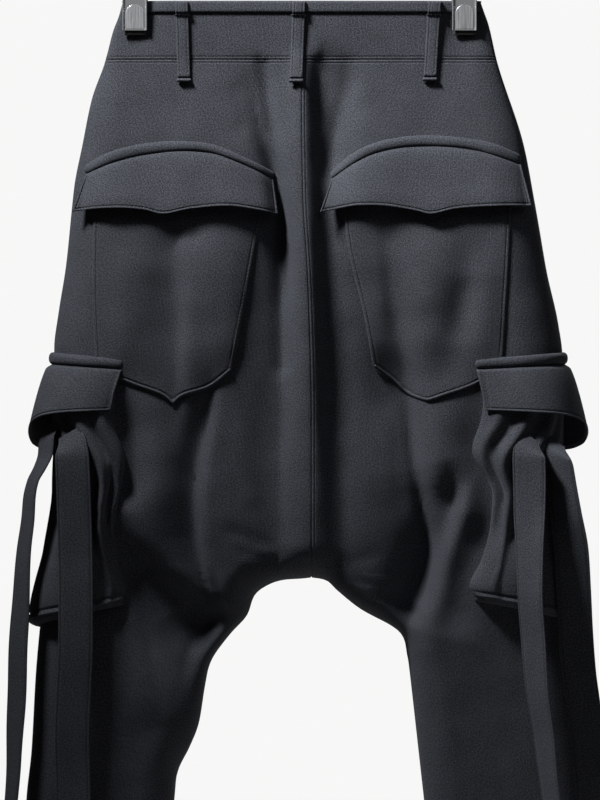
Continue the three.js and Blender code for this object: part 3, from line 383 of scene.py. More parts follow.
def plain_depth(side, x, drop):
    """Depth without folds, the distances to the side seam and the inseam, and the rounding there."""
    out = np.maximum(0, side * (seam_x[side](drop) - x))
    inner = nearest(inseam_line[side], x, drop)[0]
    shape = rounded(out / reach_at(drop)) * rounded(inner / INSEAM_REACH)
    grip = hump(x, CLIP_PINCH["share"], CLIP_X[side], CLIP_PINCH["width"])
    pinch = 1 - grip * eased(1 - drop / CLIP_PINCH["drop"])
    return np.maximum(depth_at(drop) * pinch, CLIP_PINCH["depth"]) * shape, out, inner, shape


def cloth_depth(face, x, drop, side=None):
    """How far the cloth's outer face stands from the seam plane."""
    x, drop = np.broadcast_arrays(np.asarray(x, float), np.asarray(drop, float))
    if side is None:
        left = x < centre_x(drop)
        return np.where(left, cloth_depth(face, x, drop, LEFT), cloth_depth(face, x, drop, RIGHT))
    depth, out, inner, shape = plain_depth(side, x, drop)
    seams = eased(out / FOLD_FADE["side"]) * eased(inner / FOLD_FADE["inseam"])
    edge = seams * eased((drop - FOLD_FADE["top"]) / FOLD_FADE["top_length"])
    folds = sum(fold_depth(fold, x, drop) for fold in FOLDS[face] + CREASES[face])
    folds = folds + sum(a * np.sin(p * x + q * drop + r * face) for a, p, q, r in WAVES)
    return np.maximum(depth + folds * edge, CLIP_PINCH["depth"] * shape)


def spot(x, y, drop):
    """Points in metres, in the frame of the solids."""
    x, y, drop = np.broadcast_arrays(x, y, drop)
    return np.stack([x, y, -HOOK_TO_WAIST - drop], -1) / 1000


def cloth_spot(face, x, drop, lift=0, side=None):
    """A place on the cloth's face, raised straight out by a lift."""
    return spot(x, face * (SEAM_GAP / 2 + cloth_depth(face, x, drop, side) + lift), drop)


print("seat stands", round(float(cloth_depth(BACK, -120.0, 300.0)), 1), "mm from the seam plane")

# %% [markdown]
# The cloth is a heavy double knit: matte charcoal, with a fine salt-and-pepper speckle where light
# and dark yarns cross, faint ribs along the length, and a soft bloom at grazing angles. The ribs
# follow the cut, so they read each sheet's own UV map, which is laid out in metres.

# %% Cloth finish
CLOTH_DARK = (0.0125, 0.0136, 0.0165)
CLOTH_LIGHT = (0.058, 0.0630, 0.0785)
THREAD_COLOUR = (0.006, 0.006, 0.007)
SPECKLE = {"scale": 640, "detail": 3.0, "rough": 0.8, "share": 0.93}
BLOTCH = {"scale": 46, "detail": 3.0, "share": 0.07}
YARN_CONTRAST = (0.42, 0.60)
RIBS = {"scale": 210, "relief": 0.45}
KNIT_RELIEF = (0.6, 0.0005)  # strength, and height in metres


def finish(name, **sockets):
    """A material with some sockets of its Principled shader set, and that shader."""
    made = bpy.data.materials.new(name)
    made.use_nodes = True
    shader = made.node_tree.nodes["Principled BSDF"]
    for socket, value in sockets.items():
        shader.inputs[socket.replace("_", " ")].default_value = value
    return made, shader


def node(tree, kind, source=None, into="Vector", **sockets):
    """A new shader node with some sockets set, and one fed from a source."""
    made = tree.nodes.new(f"ShaderNode{kind}")
    for socket, value in sockets.items():
        made.inputs[socket].default_value = value
    if source is not None:
        tree.links.new(source, made.inputs[into])
    return made


def feed(source, shader, socket):
    """Links a source into a shader's socket."""
    source.id_data.links.new(source, shader.inputs[socket])


def place_in(shader):
    """Coordinates that stay with the object."""
    return node(shader.id_data, "TexCoord").outputs["Object"]


def noise(source, scale, detail=2.0, rough=0.55):
    """A noise texture on a given coordinate socket."""
    made = node(source.id_data, "TexNoise", source, Scale=scale, Detail=detail, Roughness=rough)
    return made.outputs["Fac"]


def ramp(source, low, high, at=(0.3, 0.7)):
    """A colour ramp from low to high."""
    made = node(source.id_data, "ValToRGB", source, "Fac")
    for stop, place, colour in zip(made.color_ramp.elements, at, (low, high)):
        stop.position = place
        stop.color = (*colour, 1)
    return made.outputs["Color"]


def combined(kind, a, b):
    """The sum or product of a socket with another socket or a number."""
    made = node(a.id_data, "Math", a, 0)
    made.operation = kind
    if isinstance(b, float):
        made.inputs[1].default_value = b
    else:
        a.id_data.links.new(b, made.inputs[1])
    return made.outputs[0]


def bump(shader, height, strength, distance):
    """Relief too fine to model."""
    made = node(height.id_data, "Bump", height, "Height", Strength=strength, Distance=distance)
    feed(made.outputs["Normal"], shader, "Normal")


def double_knit(name, shade=1.0):
    """The trousers' cloth. A shade above 1 is a little lighter."""
    made, shader = finish(name, Roughness=0.80, Sheen_Weight=0.04, Sheen_Roughness=0.45,
                          Sheen_Tint=(0.82, 0.86, 1.0, 1), Specular_IOR_Level=0.20)
    uv = node(shader.id_data, "UVMap").outputs["UV"]
    speckle = noise(uv, SPECKLE["scale"], SPECKLE["detail"], SPECKLE["rough"])
    blotch = noise(place_in(shader), BLOTCH["scale"], BLOTCH["detail"])
    yarns = combined("MULTIPLY", speckle, SPECKLE["share"])
    mixed = combined("ADD", yarns, combined("MULTIPLY", blotch, BLOTCH["share"]))
    dark, light = ([c * shade for c in colour] for colour in (CLOTH_DARK, CLOTH_LIGHT))
    feed(ramp(mixed, dark, light, YARN_CONTRAST), shader, "Base Color")
    ribs = node(shader.id_data, "TexWave", uv, Scale=RIBS["scale"], Distortion=1.2, Detail=1.0)
    ribs = combined("MULTIPLY", ribs.outputs["Fac"], RIBS["relief"])
    bump(shader, combined("ADD", ribs, speckle), *KNIT_RELIEF)
    return made


knit = double_knit("double_knit")
knit_trim = double_knit("double_knit_trim", 1.08)

thread, shader = finish("sewing_thread", Roughness=0.5)
twist = noise(place_in(shader), 2600)
feed(ramp(twist, THREAD_COLOUR, [3 * c for c in THREAD_COLOUR]), shader, "Base Color")
bump(shader, twist, 0.4, 0.0002)
print("materials", len(bpy.data.materials))

# %% [markdown]
# Every sheet starts as a grid primitive, whose vertices are then put where the cloth's function says.
# A Solidify modifier gives the wall, inward, so that the outer face stays exact. This keeps the
# grain of the mesh along the cut, which sculpting or a cloth simulation would lose.


# %% Sheets from grids
SHARP_ANGLE = 60
LEAST_AREA = 0.31  # of the rectangle that a cut lies in


def select_only(piece):
    """Makes one object the only selected one, and the active one."""
    bpy.ops.object.select_all(action="DESELECT")
    piece.select_set(True)
    bpy.context.view_layer.objects.active = piece


def grid_sizes(points):
    """Lengths along rows and down columns of a grid of points, in metres, from its corner."""
    across = np.linalg.norm(np.diff(points, axis=1), axis=2)
    down = np.linalg.norm(np.diff(points, axis=0), axis=2)
    u = np.pad(across.cumsum(1), ((0, 0), (1, 0)))
    v = np.pad(down.cumsum(0), ((1, 0), (0, 0)))
    return u, v


def grid_area(points):
    """The area of a grid's quads, in square metres."""
    a, b = points[1:, 1:] - points[:-1, :-1], points[1:, :-1] - points[:-1, 1:]
    return float(np.linalg.norm(np.cross(a, b), axis=2).sum() / 2)


def grid_solid(name, points, outward, wall):
    """A wall whose outer face lies on a grid of points, with its UV map in metres along the grid."""
    normal = np.cross(points[:-1, 1:] - points[:-1, :-1], points[1:, :-1] - points[:-1, :-1])
    if (normal.sum((0, 1)) * np.array(outward)).sum() < 0:
        points = points[:, ::-1]
    rows, columns = points.shape[:2]
    piece = added(bpy.ops.mesh.primitive_grid_add, size=1,
                  x_subdivisions=columns - 1, y_subdivisions=rows - 1)
    piece.name = piece.data.name = name
    piece.data.vertices.foreach_set("co", points.reshape(-1))
    u, v = grid_sizes(points)
    corner = np.empty(len(piece.data.loops), np.int64)
    piece.data.loops.foreach_get("vertex_index", corner)
    laid = np.stack([(u - u.mean(1, keepdims=True)).reshape(-1)[corner], v.reshape(-1)[corner]], 1)
    piece.data.uv_layers.active.data.foreach_set("uv", laid.reshape(-1))
    piece.data.update()
    select_only(piece)
    thick = piece.modifiers.new("wall", "SOLIDIFY")
    thick.thickness = wall / 1000
    thick.offset = -1
    bpy.ops.object.modifier_apply(modifier="wall")
    bpy.ops.object.shade_smooth_by_angle(angle=math.radians(SHARP_ANGLE))
    return piece


def sheet_piece(node, points, outward, wall, material=knit, kind="cloth"):
    """A cloth wall on a grid of points in place of a solid, with the size and area of its cut printed."""
    piece = grid_solid(f"{node}_{kind}", points, outward, wall)
    dress(piece, material, "cloth", node)
    u, v = grid_sizes(points)
    flat = (float(u[:, -1].max()), float(v[-1].max()))
    whole = flat[0] * flat[1]
    area = max(min(grid_area(points), whole), LEAST_AREA * whole)
    size = f"{flat[0] * 1000:.0f} x {flat[1] * 1000:.0f} mm, {area * 1e4:.0f} cm2"
    print(f"{piece.name}: cut {size}, {len(piece.data.polygons)} faces")


def dress(piece, material, slot, *nodes):
    """Gives a finished piece its material and its body, and hides the solids that it stands for."""
    piece.data.materials.clear()
    piece.data.materials.append(material)
    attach(piece, "root")
    if nodes:
        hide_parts(*nodes)


# %% [markdown]
# Stitches are made once, as a short capsule of a few dozen faces, and copied along each seam as one
# joined mesh. A stitch lies in its groove, with a small gap to the next, as the thread dips under.

# %% Stitches
STITCH = {"length": 3.1, "pitch": 4.0, "radius": 0.34, "flat": 0.8}
STITCH_REACH = 0.0008  # how far along the line to either side its direction is taken
capsule = added(bpy.ops.mesh.primitive_uv_sphere_add, segments=6, ring_count=4, radius=1)
capsule_points = np.array([v.co for v in capsule.data.vertices])[:, [2, 1, 0]]
capsule_faces = [tuple(reversed(f.vertices)) for f in capsule.data.polygons]
bpy.data.objects.remove(capsule)


def stitched(name, lines):
    """One mesh of stitches along lines, each a pair of points and outward normals."""
    half = np.array([STITCH["length"] / 2, STITCH["radius"], STITCH["radius"] * STITCH["flat"]]) / 1000
    points = []
    for line, normals in lines:
        length = np.concatenate([[0], np.linalg.norm(np.diff(line, axis=0), axis=1).cumsum()])
        count = max(int(length[-1] * 1000 / STITCH["pitch"]), 1)
        at = (np.arange(count) + 0.5) * length[-1] / count
        on = lambda values, where: np.stack([np.interp(where, length, values[:, k]) for k in range(3)], 1)
        centre, up = on(line, at), unit(on(normals, at))
        along = unit(on(line, at + STITCH_REACH) - on(line, at - STITCH_REACH))
        beside = unit(np.cross(up, along))
        up = np.cross(along, beside)
        frames = np.stack([along, beside, up], 1) * half[:, None]
        points.append(centre[:, None] + np.einsum("vk,nkj->nvj", capsule_points, frames))
    points = np.concatenate(points)
    each = len(capsule_points)
    faces = [tuple(i + n * each for i in face) for n in range(len(points)) for face in capsule_faces]
    mesh = bpy.data.meshes.new(name)
    mesh.from_pydata(points.reshape(-1, 3).tolist(), [], faces)
    piece = bpy.data.objects.new(name, mesh)
    bpy.context.scene.collection.objects.link(piece)
    select_only(piece)
    bpy.ops.object.shade_smooth()
    dress(piece, thread, "cloth")
    print(f"{name}: {len(points)} stitches")


def grid_normals(points, outward):
    """Normals of a grid of points, turned to the given side."""
    across, down = np.gradient(points, axis=1), np.gradient(points, axis=0)
    normals = unit(np.cross(across, down))
    return normals if (normals.sum((0, 1)) * np.array(outward)).sum() > 0 else -normals


def grid_line(points, outward, row=None, column=None, lift=0.1):
    """A stitching line along one row or column of a grid, a little above its face."""
    normals = grid_normals(points, outward)
    line, up = (points[row], normals[row]) if column is None else (points[:, column], normals[:, column])
    return line + up * lift / 1000, up


def rim(down, across, inset):
    """The row and the two columns of a grid that lie an inset from its low edge and its sides."""
    columns = [index_at(across - across[0], inset), index_at(across[-1] - across, inset)]
    return index_at(down[-1] - down, inset), columns


def sew(name, points, outward, rows=(), columns=(), across=slice(None), down=slice(None), lift=0.1):
    """Stitches along rows and columns of a grid: the rows over a part across, the columns down."""
    lines = [grid_line(points[:, across], outward, row=r, lift=lift) for r in rows]
    stitched(name, lines + [grid_line(points[down], outward, column=c, lift=lift) for c in columns])


# %% [markdown]
# Seams make the cut readable. Where two panels meet, both edges roll down into the join, and a row
# of topstitching beside it pulls a shallow groove. Both are in the mesh, so they catch real light,
# and the grid's columns are crowded there to hold them.

# %% Seams and grooves
ROLL = {"width": 2.2, "depth": 1.5}
GROOVE = {"depth": 0.55, "width": 0.55}
TOPSTITCH = 3.4


def roll(distance):
    """How far an edge sinks into its seam."""
    return -ROLL["depth"] * (1 - rounded(distance / ROLL["width"]))


def groove(distance, at=TOPSTITCH):
    """The groove of a row of stitches at a distance from an edge."""
    return hump(distance, -GROOVE["depth"], at, GROOVE["width"])


EDGE_STEPS = np.array([0, 0.25, 0.7, 1.4, 2.2, 2.8, 3.1, 3.4, 3.7, 4.0, 4.6, 5.6, 7.2, 9.4])
# Spacing of the finer pieces' grids away from their edges
STEP = {
    "band": 3.0, "loop": 1.2, "bag": 3.6, "welt": 3.0, "flap": 3.0, "flap_down": 2.4, "cargo_flap": 2.2,
    "strap": 2.6, "strap_down": 3.4, "fly": 2.4, "fly_down": 3.0, "tab": 2.0, "clip": 1.8, "plate": 1.5}


def graded(length, step, first=EDGE_STEPS, last=EDGE_STEPS):
    """Positions along a length, crowded at the ends and even between."""
    room = length - first[-1] - last[-1]
    count = max(int(round(room / step)), 2)
    inner = np.linspace(first[-1], length - last[-1], count + 1)[1:-1]
    return np.concatenate([first, inner, length - last[::-1]])


# %% [markdown]
# The panels run from the waist seam to the hem. Their rows start on the centre seam, turn along the
# inseam at the low crotch, and end on the side seam, so one regular grid serves the seat and the leg.

# %% Panels
PANEL_STEP = {BACK: 3.3, FRONT: 5.5}
HEM_STITCH = 22
HEM_STEPS = np.array([0, 1.0, 2.5, 5.0, 8.0])
SEAT_ROWS = 40
SEAM_FADE = 8
PANEL_ARCS = ((INSEAM_REACH, 44), (50, 48))  # reach of the rounded inner and outer edge, and its radius


def inner_line(side):
    """The panel's inner edge: down the centre seam, then along the inseam."""
    drops = np.linspace(BAND_DROP + SEAM_GAP / 2, CROTCH_DROP, SEAT_ROWS)
    seam = np.stack([centre_x(drops) + side * SEAM_GAP / 2, drops], 1)
    return np.concatenate([seam, inseam_line[side][1:]])


def arc_steps(reach, step, angle_step):
    """Steps over a rounded edge, even along the arc, with the fine ones of a seam before them."""
    angles = np.arange(0, math.pi / 2 + angle_step / 2, angle_step)
    arc = reach * (1 - np.cos(angles))
    fine = EDGE_STEPS[EDGE_STEPS < 4.7]
    return np.unique(np.concatenate([fine, arc[arc > fine[-1] + step / 4]]).round(3))


def panel_points(face, side):
    """The outer face of one panel, as a grid."""
    line = inner_line(side)
    lengths = np.concatenate([[0], np.linalg.norm(np.diff(line, axis=0), axis=1).cumsum()])
    step = PANEL_STEP[face]
    down = graded(lengths[-1], step, last=HEM_STEPS)
    inner = np.stack([np.interp(down, lengths, line[:, k]) for k in (0, 1)], 1)
    outer_drop = mix(BAND_DROP + SEAM_GAP / 2, HEM_DROP, down / lengths[-1])
    outer = np.stack([seam_x[side](outer_drop), outer_drop], 1)
    width = np.linalg.norm(outer - inner, axis=1)
    start, end = (arc_steps(reach, step, step / radius) for reach, radius in PANEL_ARCS)
    middle = int(round((width.mean() - start[-1] - end[-1]) / step))
    share = np.linspace(0, 1, middle + 1)[1:-1]
    steps = np.concatenate([
        np.broadcast_to(start, (len(down), len(start))),
        start[-1] + share * (width - start[-1] - end[-1])[:, None],
        width[:, None] - end[::-1]], 1)
    t = steps / width[:, None]
    x = mix(inner[:, :1], outer[:, :1], t)
    drop = mix(inner[:, 1:], outer[:, 1:], t)
    seat = (down < lengths[SEAT_ROWS - 1])[:, None]
    fade = eased((width[:, None] - steps) / SEAM_FADE)
    lift = roll(down)[:, None] * fade + groove(down)[:, None] * fade
    lift = lift + np.where(seat, roll(steps) + (groove(steps) if side == RIGHT else 0), 0)
    lift = lift + 0.5 * groove(lengths[-1] - down, HEM_STITCH)[:, None] * fade
    depth = cloth_depth(face, x, drop, side)
    return spot(x, face * (SEAM_GAP / 2 + np.maximum(depth + lift, 0)), drop)


FACES = {"back": BACK, "front": FRONT}
for face_word, face in FACES.items():
    for word, side in SIDES.items():
        sheet_piece(f"{face_word}_{word}", panel_points(face, side), (0, face, 0), CLOTH_WALL,
                    kind="panel")

# %% [markdown]
# The waistband is one strip across the back and two across the front. Over its top edge goes a
# narrow binding, rolled from outside to inside, which leaves a thin dark line under the rolled edge.

# %% Waistband and binding
BINDING_PROUD = 2.9
BINDING_WALL = 1.0
BAND_ARC = (24, STEP["band"], 0.1)  # reach of the rounded side, step, and step in angle
centre_top = float(centre_x(0.0))
BANDS = {
    "back": (BACK, None, None),
    "front_left": (FRONT, None, centre_top - SEAM_GAP / 2),
    "front_right": (FRONT, centre_top + SEAM_GAP / 2, None),
}


def band_x(drop, start, end):
    """The places across a band at each drop: side seams where no end is given."""
    first = seam_x[LEFT](drop) if start is None else np.full_like(drop, start)
    last = seam_x[RIGHT](drop) if end is None else np.full_like(drop, end)
    width = last - first
    ends = (arc_steps(*BAND_ARC) if stop is None else EDGE_STEPS for stop in (start, end))
    steps = graded(float(width[0]), STEP["band"], *ends)
    return first[:, None] + steps * (width / width[0])[:, None]


for word, (face, start, end) in BANDS.items():
    length = BAND_DROP - SEAM_GAP / 2
    drop = graded(length, STEP["band"], first=np.array([0, 1.5, 3.0]))
    x = band_x(drop, start, end)
    rise = roll(length - drop) + groove(length - drop)
    from_end = [np.abs(x - stop) for stop in (start, end) if stop is not None]
    lift = rise[:, None] + sum((roll(d) for d in from_end), np.zeros_like(x))
    depth = cloth_depth(face, x, drop[:, None])
    points = spot(x, face * (SEAM_GAP / 2 + np.maximum(depth + lift * eased(depth / 6), 0)), drop[:, None])
    sheet_piece(f"waistband_{word}", points, (0, face, 0), CLOTH_WALL)
    sew(f"waist_stitches_{word}", points, (0, face, 0), [index_at(length - drop, TOPSTITCH)])

# The binding's section, from its low edge outside, over the top, to inside: drop and stand-off
BINDING_SECTION = [
    (12, 0.3), (12, 1.4), (11.4, 2.3), (10, 2.8), (7, BINDING_PROUD), (3.5, BINDING_PROUD), (1.2, 2.8),
    (-0.2, 2.2), (-0.9, 1.0), (-1, -0.4), (-0.7, -1.6), (0.4, -2.2), (3, -2.3), (6, -2.3)]
for word, (face, start, end) in BANDS.items():
    section = spline(BINDING_SECTION, 30)
    x = band_x(np.full(len(section), 0.0), start, end)
    depth = cloth_depth(face, x, np.maximum(section[:, :1], 0))
    stand = section[:, 1:] * np.where(section[:, 1:] < 0, eased(depth / 5), 1)
    points = spot(x, face * (SEAM_GAP / 2 + np.maximum(depth + stand, 0)), section[:, :1])
    sheet_piece(f"binding_{word}", points, (0, face, 0), BINDING_WALL, knit_trim)

# %% [markdown]
# Belt loops are narrow strips, folded in three and sewn down with two rows. Each lies over the
# binding and the waist seam, and its lower end is turned under into a small roll, which casts the
# short black shadow that marks it.

# %% Belt loops
LOOP_WIDTH = 14
LOOP_WALL = 2.2
LOOP_STITCH = 2.6  # from each long edge
LOOP_LENGTH = 89  # of the profile below, which each loop stretches to its own
LOOP_END = {"wider": 0.7, "from": 84, "over": 2}
LOOP_SEWN = {"depth": 0.8, "to": 81, "over": 3}
LOOP_SEWN_FROM, LOOP_SEWN_TO = 15, 82
LOOPS = {
    "back_left": (BACK, -136.6, -133.8, 89), "back_centre": (BACK, -7.5, -11, 90),
    "back_right": (BACK, 141.4, 135.7, 88), "front_left": (FRONT, -120, -120, 88),
    "front_right": (FRONT, 112, 112, 88),
}
# Stand-off down a loop: over the binding, a bar of stitches under it, the flat, and the turned end
LOOP_PROFILE = [
    (-0.5, 2.0), (0, 4.6), (0.8, 5.8), (3, 6.2), (9, 6.2), (11.5, 6.0), (12.8, 5.0), (13.6, 3.9),
    (14.6, 4.0), (17, 4.0), (40, 3.6), (60, 3.5), (76, 3.6), (81.5, 3.7), (83.2, 3.2), (84.0, 1.6),
    (84.6, 1.6), (85.4, 3.6), (86.4, 5.2), (87.6, 5.3), (88.6, 4.0), (89.0, 2.2)]
STRIP_STEPS = np.array([0, 0.2, 0.6, 1.2, 1.9, 2.3, 2.6, 2.9, 3.3])
half = LOOP_WIDTH / 2
loop_across = graded(LOOP_WIDTH, STEP["loop"], STRIP_STEPS, STRIP_STEPS) - half

for word, (face, top_x, low_x, low) in LOOPS.items():
    profile = spline(LOOP_PROFILE, 150)
    drop = profile[:, :1] * (low / LOOP_LENGTH)
    edge = half - np.abs(loop_across)
    wider = LOOP_END["wider"] * eased((drop - LOOP_END["from"] * low / LOOP_LENGTH) / LOOP_END["over"])
    middle_x = mix(top_x, low_x, drop / low)
    x = middle_x + loop_across * (1 + wider / half)
    at = np.clip(drop, 0, None)
    under = np.max([cloth_depth(face, middle_x + u * half, at) for u in (-1, -0.5, 0, 0.5, 1)], 0)
    rounding = 1.3 * (1 - rounded(edge / 1.2))
    flat = eased((LOOP_SEWN["to"] - drop) / LOOP_SEWN["over"])
    sewn = LOOP_SEWN["depth"] * groove(edge, LOOP_STITCH) * flat
    points = spot(x, face * (under + profile[:, 1:] - rounding + sewn), drop)
    sheet_piece(f"belt_loop_{word}", points, (0, face, 0), LOOP_WALL, knit_trim)
    down = slice(index_at(drop, LOOP_SEWN_FROM), index_at(drop, LOOP_SEWN_TO))
    columns = [index_at(loop_across, s * (half - LOOP_STITCH)) for s in (-1, 1)]
    sew(f"belt_loop_stitches_{word}", points, (0, face, 0), columns=columns, down=down, lift=0.05)

# %% [markdown]
# Each back pocket has three pieces: an arched welt like a padded tube, a bag sewn flat on the seat
# with a pointed lower edge, and a flap that springs from under the welt and stands off the bag.
# All three are laid out on a plan of x and drop, and raised from the panel's own face.

# %% Pocket plans
POCKETS = {
    LEFT: {
        "welt_top": [(-245.1, 183), (-218.9, 168.3), (-189.2, 159.5), (-157.7, 155.1), (-126.2, 155.1),
                     (-99, 158.8), (-67.1, 172.5), (-33.6, 188.3)],
        "welt_low": [(-240.9, 190.3), (-210.3, 177.8), (-176.7, 169.4), (-136.6, 165), (-105.1, 167.2),
                     (-73.7, 177.8), (-35.6, 195.6)],
        "flap_low": [(-255.5, 232), (-231.3, 229.5), (-202, 228.5), (-176.7, 230.6), (-155.7, 235.2),
                     (-126.2, 229.5), (-88.2, 226.3), (-58.9, 229.5), (-30.4, 234.7)],
        "bag_top": [(-232, 180), (-176, 166), (-136, 161.5), (-100, 164), (-41, 190)],
        "bag_first": [(-232, 180), (-233.4, 317), (-228.8, 405)],
        "bag_last": [(-41, 190), (-50, 240), (-63, 313.5), (-80.9, 405.9)],
        "bag_low": [[(-228.8, 405), (-190, 421), (-157.7, 432.9), (-145.2, 444.4)],
                    [(-145.2, 444.4), (-134.5, 434), (-105.1, 424.4), (-80.9, 405.9)]],
    },
    RIGHT: {
        "welt_top": [(26.1, 188.3), (50.3, 168.3), (77.6, 155.7), (109.1, 149.6), (140.8, 148.3),
                     (172.3, 151), (203.8, 156.8), (236.5, 169.4)],
        "welt_low": [(28.2, 195.6), (52.4, 178.8), (77.6, 167.2), (108.9, 160.9), (140.8, 159.8),
                     (182.8, 163.9), (235.4, 179.9)],
        "flap_low": [(15.4, 232.6), (35, 229), (56.5, 225.8), (88, 226.3), (119.7, 231.5), (136.4, 235.2),
                     (161.7, 229.5), (193.4, 226.9), (225, 226), (247.1, 225.9)],
        "bag_top": [(36, 190), (77, 163), (109, 157.5), (141, 156.5), (183, 160), (226, 172)],
        "bag_first": [(36, 190), (44, 260), (52.4, 301), (62.7, 343.2), (73.4, 401.3)],
        "bag_last": [(226, 172), (223.9, 234), (220.7, 301), (214, 402)],
        "bag_low": [[(73.4, 401.3), (92.4, 415), (111, 431.8), (132.3, 439.6)],
                    [(132.3, 439.6), (153, 432.5), (186, 420.6), (214, 402)]],
    },
}
BAG_LIFT = {"height": 5, "sides": 40, "top": 246, "top_length": 60, "low": 20, "low_length": 50}
# Soft dents and swellings of the hanging bags, in the same form as the folds
BAG_DENTS = {
    LEFT: [(-4.5, 26, 9, 0, 0, [(-143, 236), (-146, 270), (-140, 310), (-140, 370), (-143, 420)]),
           (1.6, 24, 14, 0, 0, [(-108, 250), (-104, 300), (-108, 360)]),
           (-1.4, 7, 9, 0, 0, [(-150, 262), (-130, 258), (-112, 262)])],
    RIGHT: [(-3.0, 10, 18, 0, 0, [(84, 240), (92, 290), (96, 340), (104, 390)]),
            (-2.4, 14, 16, 0, 0, [(176, 300), (170, 340), (160, 380)]),
            (1.8, 20, 20, 0, 0, [(134, 250), (136, 300), (134, 350)])],
}


def along_line(points, shares):
    """Places at given shares of a smooth line's length."""
    line = spline(points, 60)
    length = np.concatenate([[0], np.linalg.norm(np.diff(line, axis=0), axis=1).cumsum()])
    return np.stack([np.interp(shares * length[-1], length, line[:, k]) for k in (0, 1)], -1)


def shares_of(line):
    """How far along a line each of its points lies, from 0 to 1."""
    length = np.linalg.norm(np.diff(line, axis=0), axis=1).cumsum()
    return np.concatenate([[0], length / length[-1]])


def coons(top, low, first, last):
    """A plan between four edges, each given as points at the grid's own shares."""
    u, v = shares_of(top)[None, :, None], shares_of(first)[:, None, None]
    sides = mix(first[:, None], last[:, None], u) + mix(top[None], low[None], v)
    return sides - mix(mix(top[0], top[-1], u), mix(low[0], low[-1], u), v)


def edge_distance(line, plan):
    """Distance of every place of a plan to a line of points."""
    return nearest(np.array(line), plan[..., 0], plan[..., 1])[0]


def length_of(points):
    """The length of a smooth line through points."""
    return float(np.linalg.norm(np.diff(spline(points, 60), axis=0), axis=1).sum())


# %% Pocket bags
BAG_FACE = CLEARANCE + LINING_WALL
BAG_WALL = 1.2
BAG_STITCH = 4.0
BAG_BEAD = (1.3, 1.9, 1.5)  # height, distance from the low edge, width
BAG_RELIEF = {"low": 2.2, "sides": 1.2}

for word, side in SIDES.items():
    cut = POCKETS[side]
    wide = sum(length_of(part) for part in cut["bag_low"])
    u = graded(wide, STEP["bag"]) / wide
    tall = length_of(cut["bag_first"])
    v = graded(tall, STEP["bag"]) / tall
    corner = length_of(cut["bag_low"][0]) / wide
    low = np.where((u < corner)[:, None], along_line(cut["bag_low"][0], u / corner),
                   along_line(cut["bag_low"][1], (u - corner) / (1 - corner)))
    first, last = along_line(cut["bag_first"], v), along_line(cut["bag_last"], v)
    plan = coons(along_line(cut["bag_top"], u), low, first, last)
    x, drop = plan[..., 0], plan[..., 1]
    lowest = cut["bag_low"][0][-1][1]
    inner, outer = sorted((cut["bag_last"][1][0], cut["bag_first"][1][0]))
    across = eased((x - inner) / BAG_LIFT["sides"]) * eased((outer - x) / BAG_LIFT["sides"])
    down = (eased((drop - BAG_LIFT["top"]) / BAG_LIFT["top_length"])
            * eased((lowest - BAG_LIFT["low"] - drop) / BAG_LIFT["low_length"]))
    from_low = edge_distance(low, plan)
    edges = (spline(cut[edge], 40) for edge in ("bag_first", "bag_last"))
    from_side = np.minimum(*(edge_distance(edge, plan) for edge in edges))
    distance = np.minimum(from_low, from_side)
    dents = sum(fold_depth(dent, x, drop) for dent in BAG_DENTS[side]) * eased(distance / 30)
    height = BAG_FACE * rounded(distance / 1.8) + BAG_LIFT["height"] * across * down
    band = hump(from_low, *BAG_BEAD) + BAG_RELIEF["low"] * groove(from_low, BAG_STITCH)
    sides = BAG_RELIEF["sides"] * groove(from_side, BAG_STITCH)
    height = height + dents + np.where(from_low < from_side, band, sides)
    points = cloth_spot(BACK, x, drop, height, side)
    sheet_piece(f"back_pocket_{word}", points, (0, BACK, 0), BAG_WALL)
    row, columns = rim(v * tall, u * wide, BAG_STITCH)
    sew(f"back_pocket_stitches_{word}", points, (0, BACK, 0), [row], columns)

# %% Welts over the back pockets
WELT_SECTION = np.linspace(0, math.pi, 25)[:, None]
WELT_WALL = 1.0
WELT_END = 5.0
# Half the width of the section as a share of the welt's, its height, the stand-off of its edges, and
# how much of the width and of the height is left at the welt's ends
BACK_WELT = {"swing": 0.54, "proud": 4.8, "base": 0.2, "end_width": 0.35, "end_height": 0.25}
CARGO_WELT = {"swing": 0.52, "proud": 5.9, "base": 0.1, "end_width": 0.4, "end_height": 0.2}
WELT_STEPS = np.array([0, 0.3, 0.8, 1.6, 2.6, 3.8, 5.2, 7.0])


def welt_form(welt, end):
    """How far across a padded welt each place of its section lies, and how far it stands out."""
    share = 0.5 - welt["swing"] * np.cos(WELT_SECTION) * mix(welt["end_width"], 1, end)
    height = welt["proud"] * np.sin(WELT_SECTION) ** 0.7 * mix(welt["end_height"], 1, end)
    return share, welt["base"] + height


for word, side in SIDES.items():
    cut = POCKETS[side]
    long = length_of(cut["welt_top"])
    u = graded(long, STEP["welt"], WELT_STEPS, WELT_STEPS) / long
    top, low = along_line(cut["welt_top"], u), along_line(cut["welt_low"], u)
    end = rounded(np.minimum(u, 1 - u) * long / WELT_END)
    share, height = welt_form(BACK_WELT, end)
    plan = mix(top[None], low[None], share[..., None])
    points = cloth_spot(BACK, plan[..., 0], plan[..., 1], height, side)
    sheet_piece(f"back_welt_{word}", points, (0, BACK, 0), WELT_WALL, knit_trim)

# %% Pocket flaps
# Stand-off down a flap, by share of its height
FLAP_PROFILE = follow([
    (0, 1.0), (0.03, 3.6), (0.08, 5.3), (0.18, 6.9), (0.3, 8.2), (0.6, 11.5), (0.85, 14.4), (1, 15.5)])
FLAP_TOP_STEPS = np.array([0, 0.6, 1.4, 2.4, 3.8, 5.6])
FLAP_LOW_STEPS = EDGE_STEPS[EDGE_STEPS < 8]
FLAP_BEND = 12
FLAP_FREE = 0.12  # share of its height over which a flap's relief begins
FLAP_STITCH = 3.0
PIPING = {"bead": 0.55, "at": 1.0, "width": 0.8}
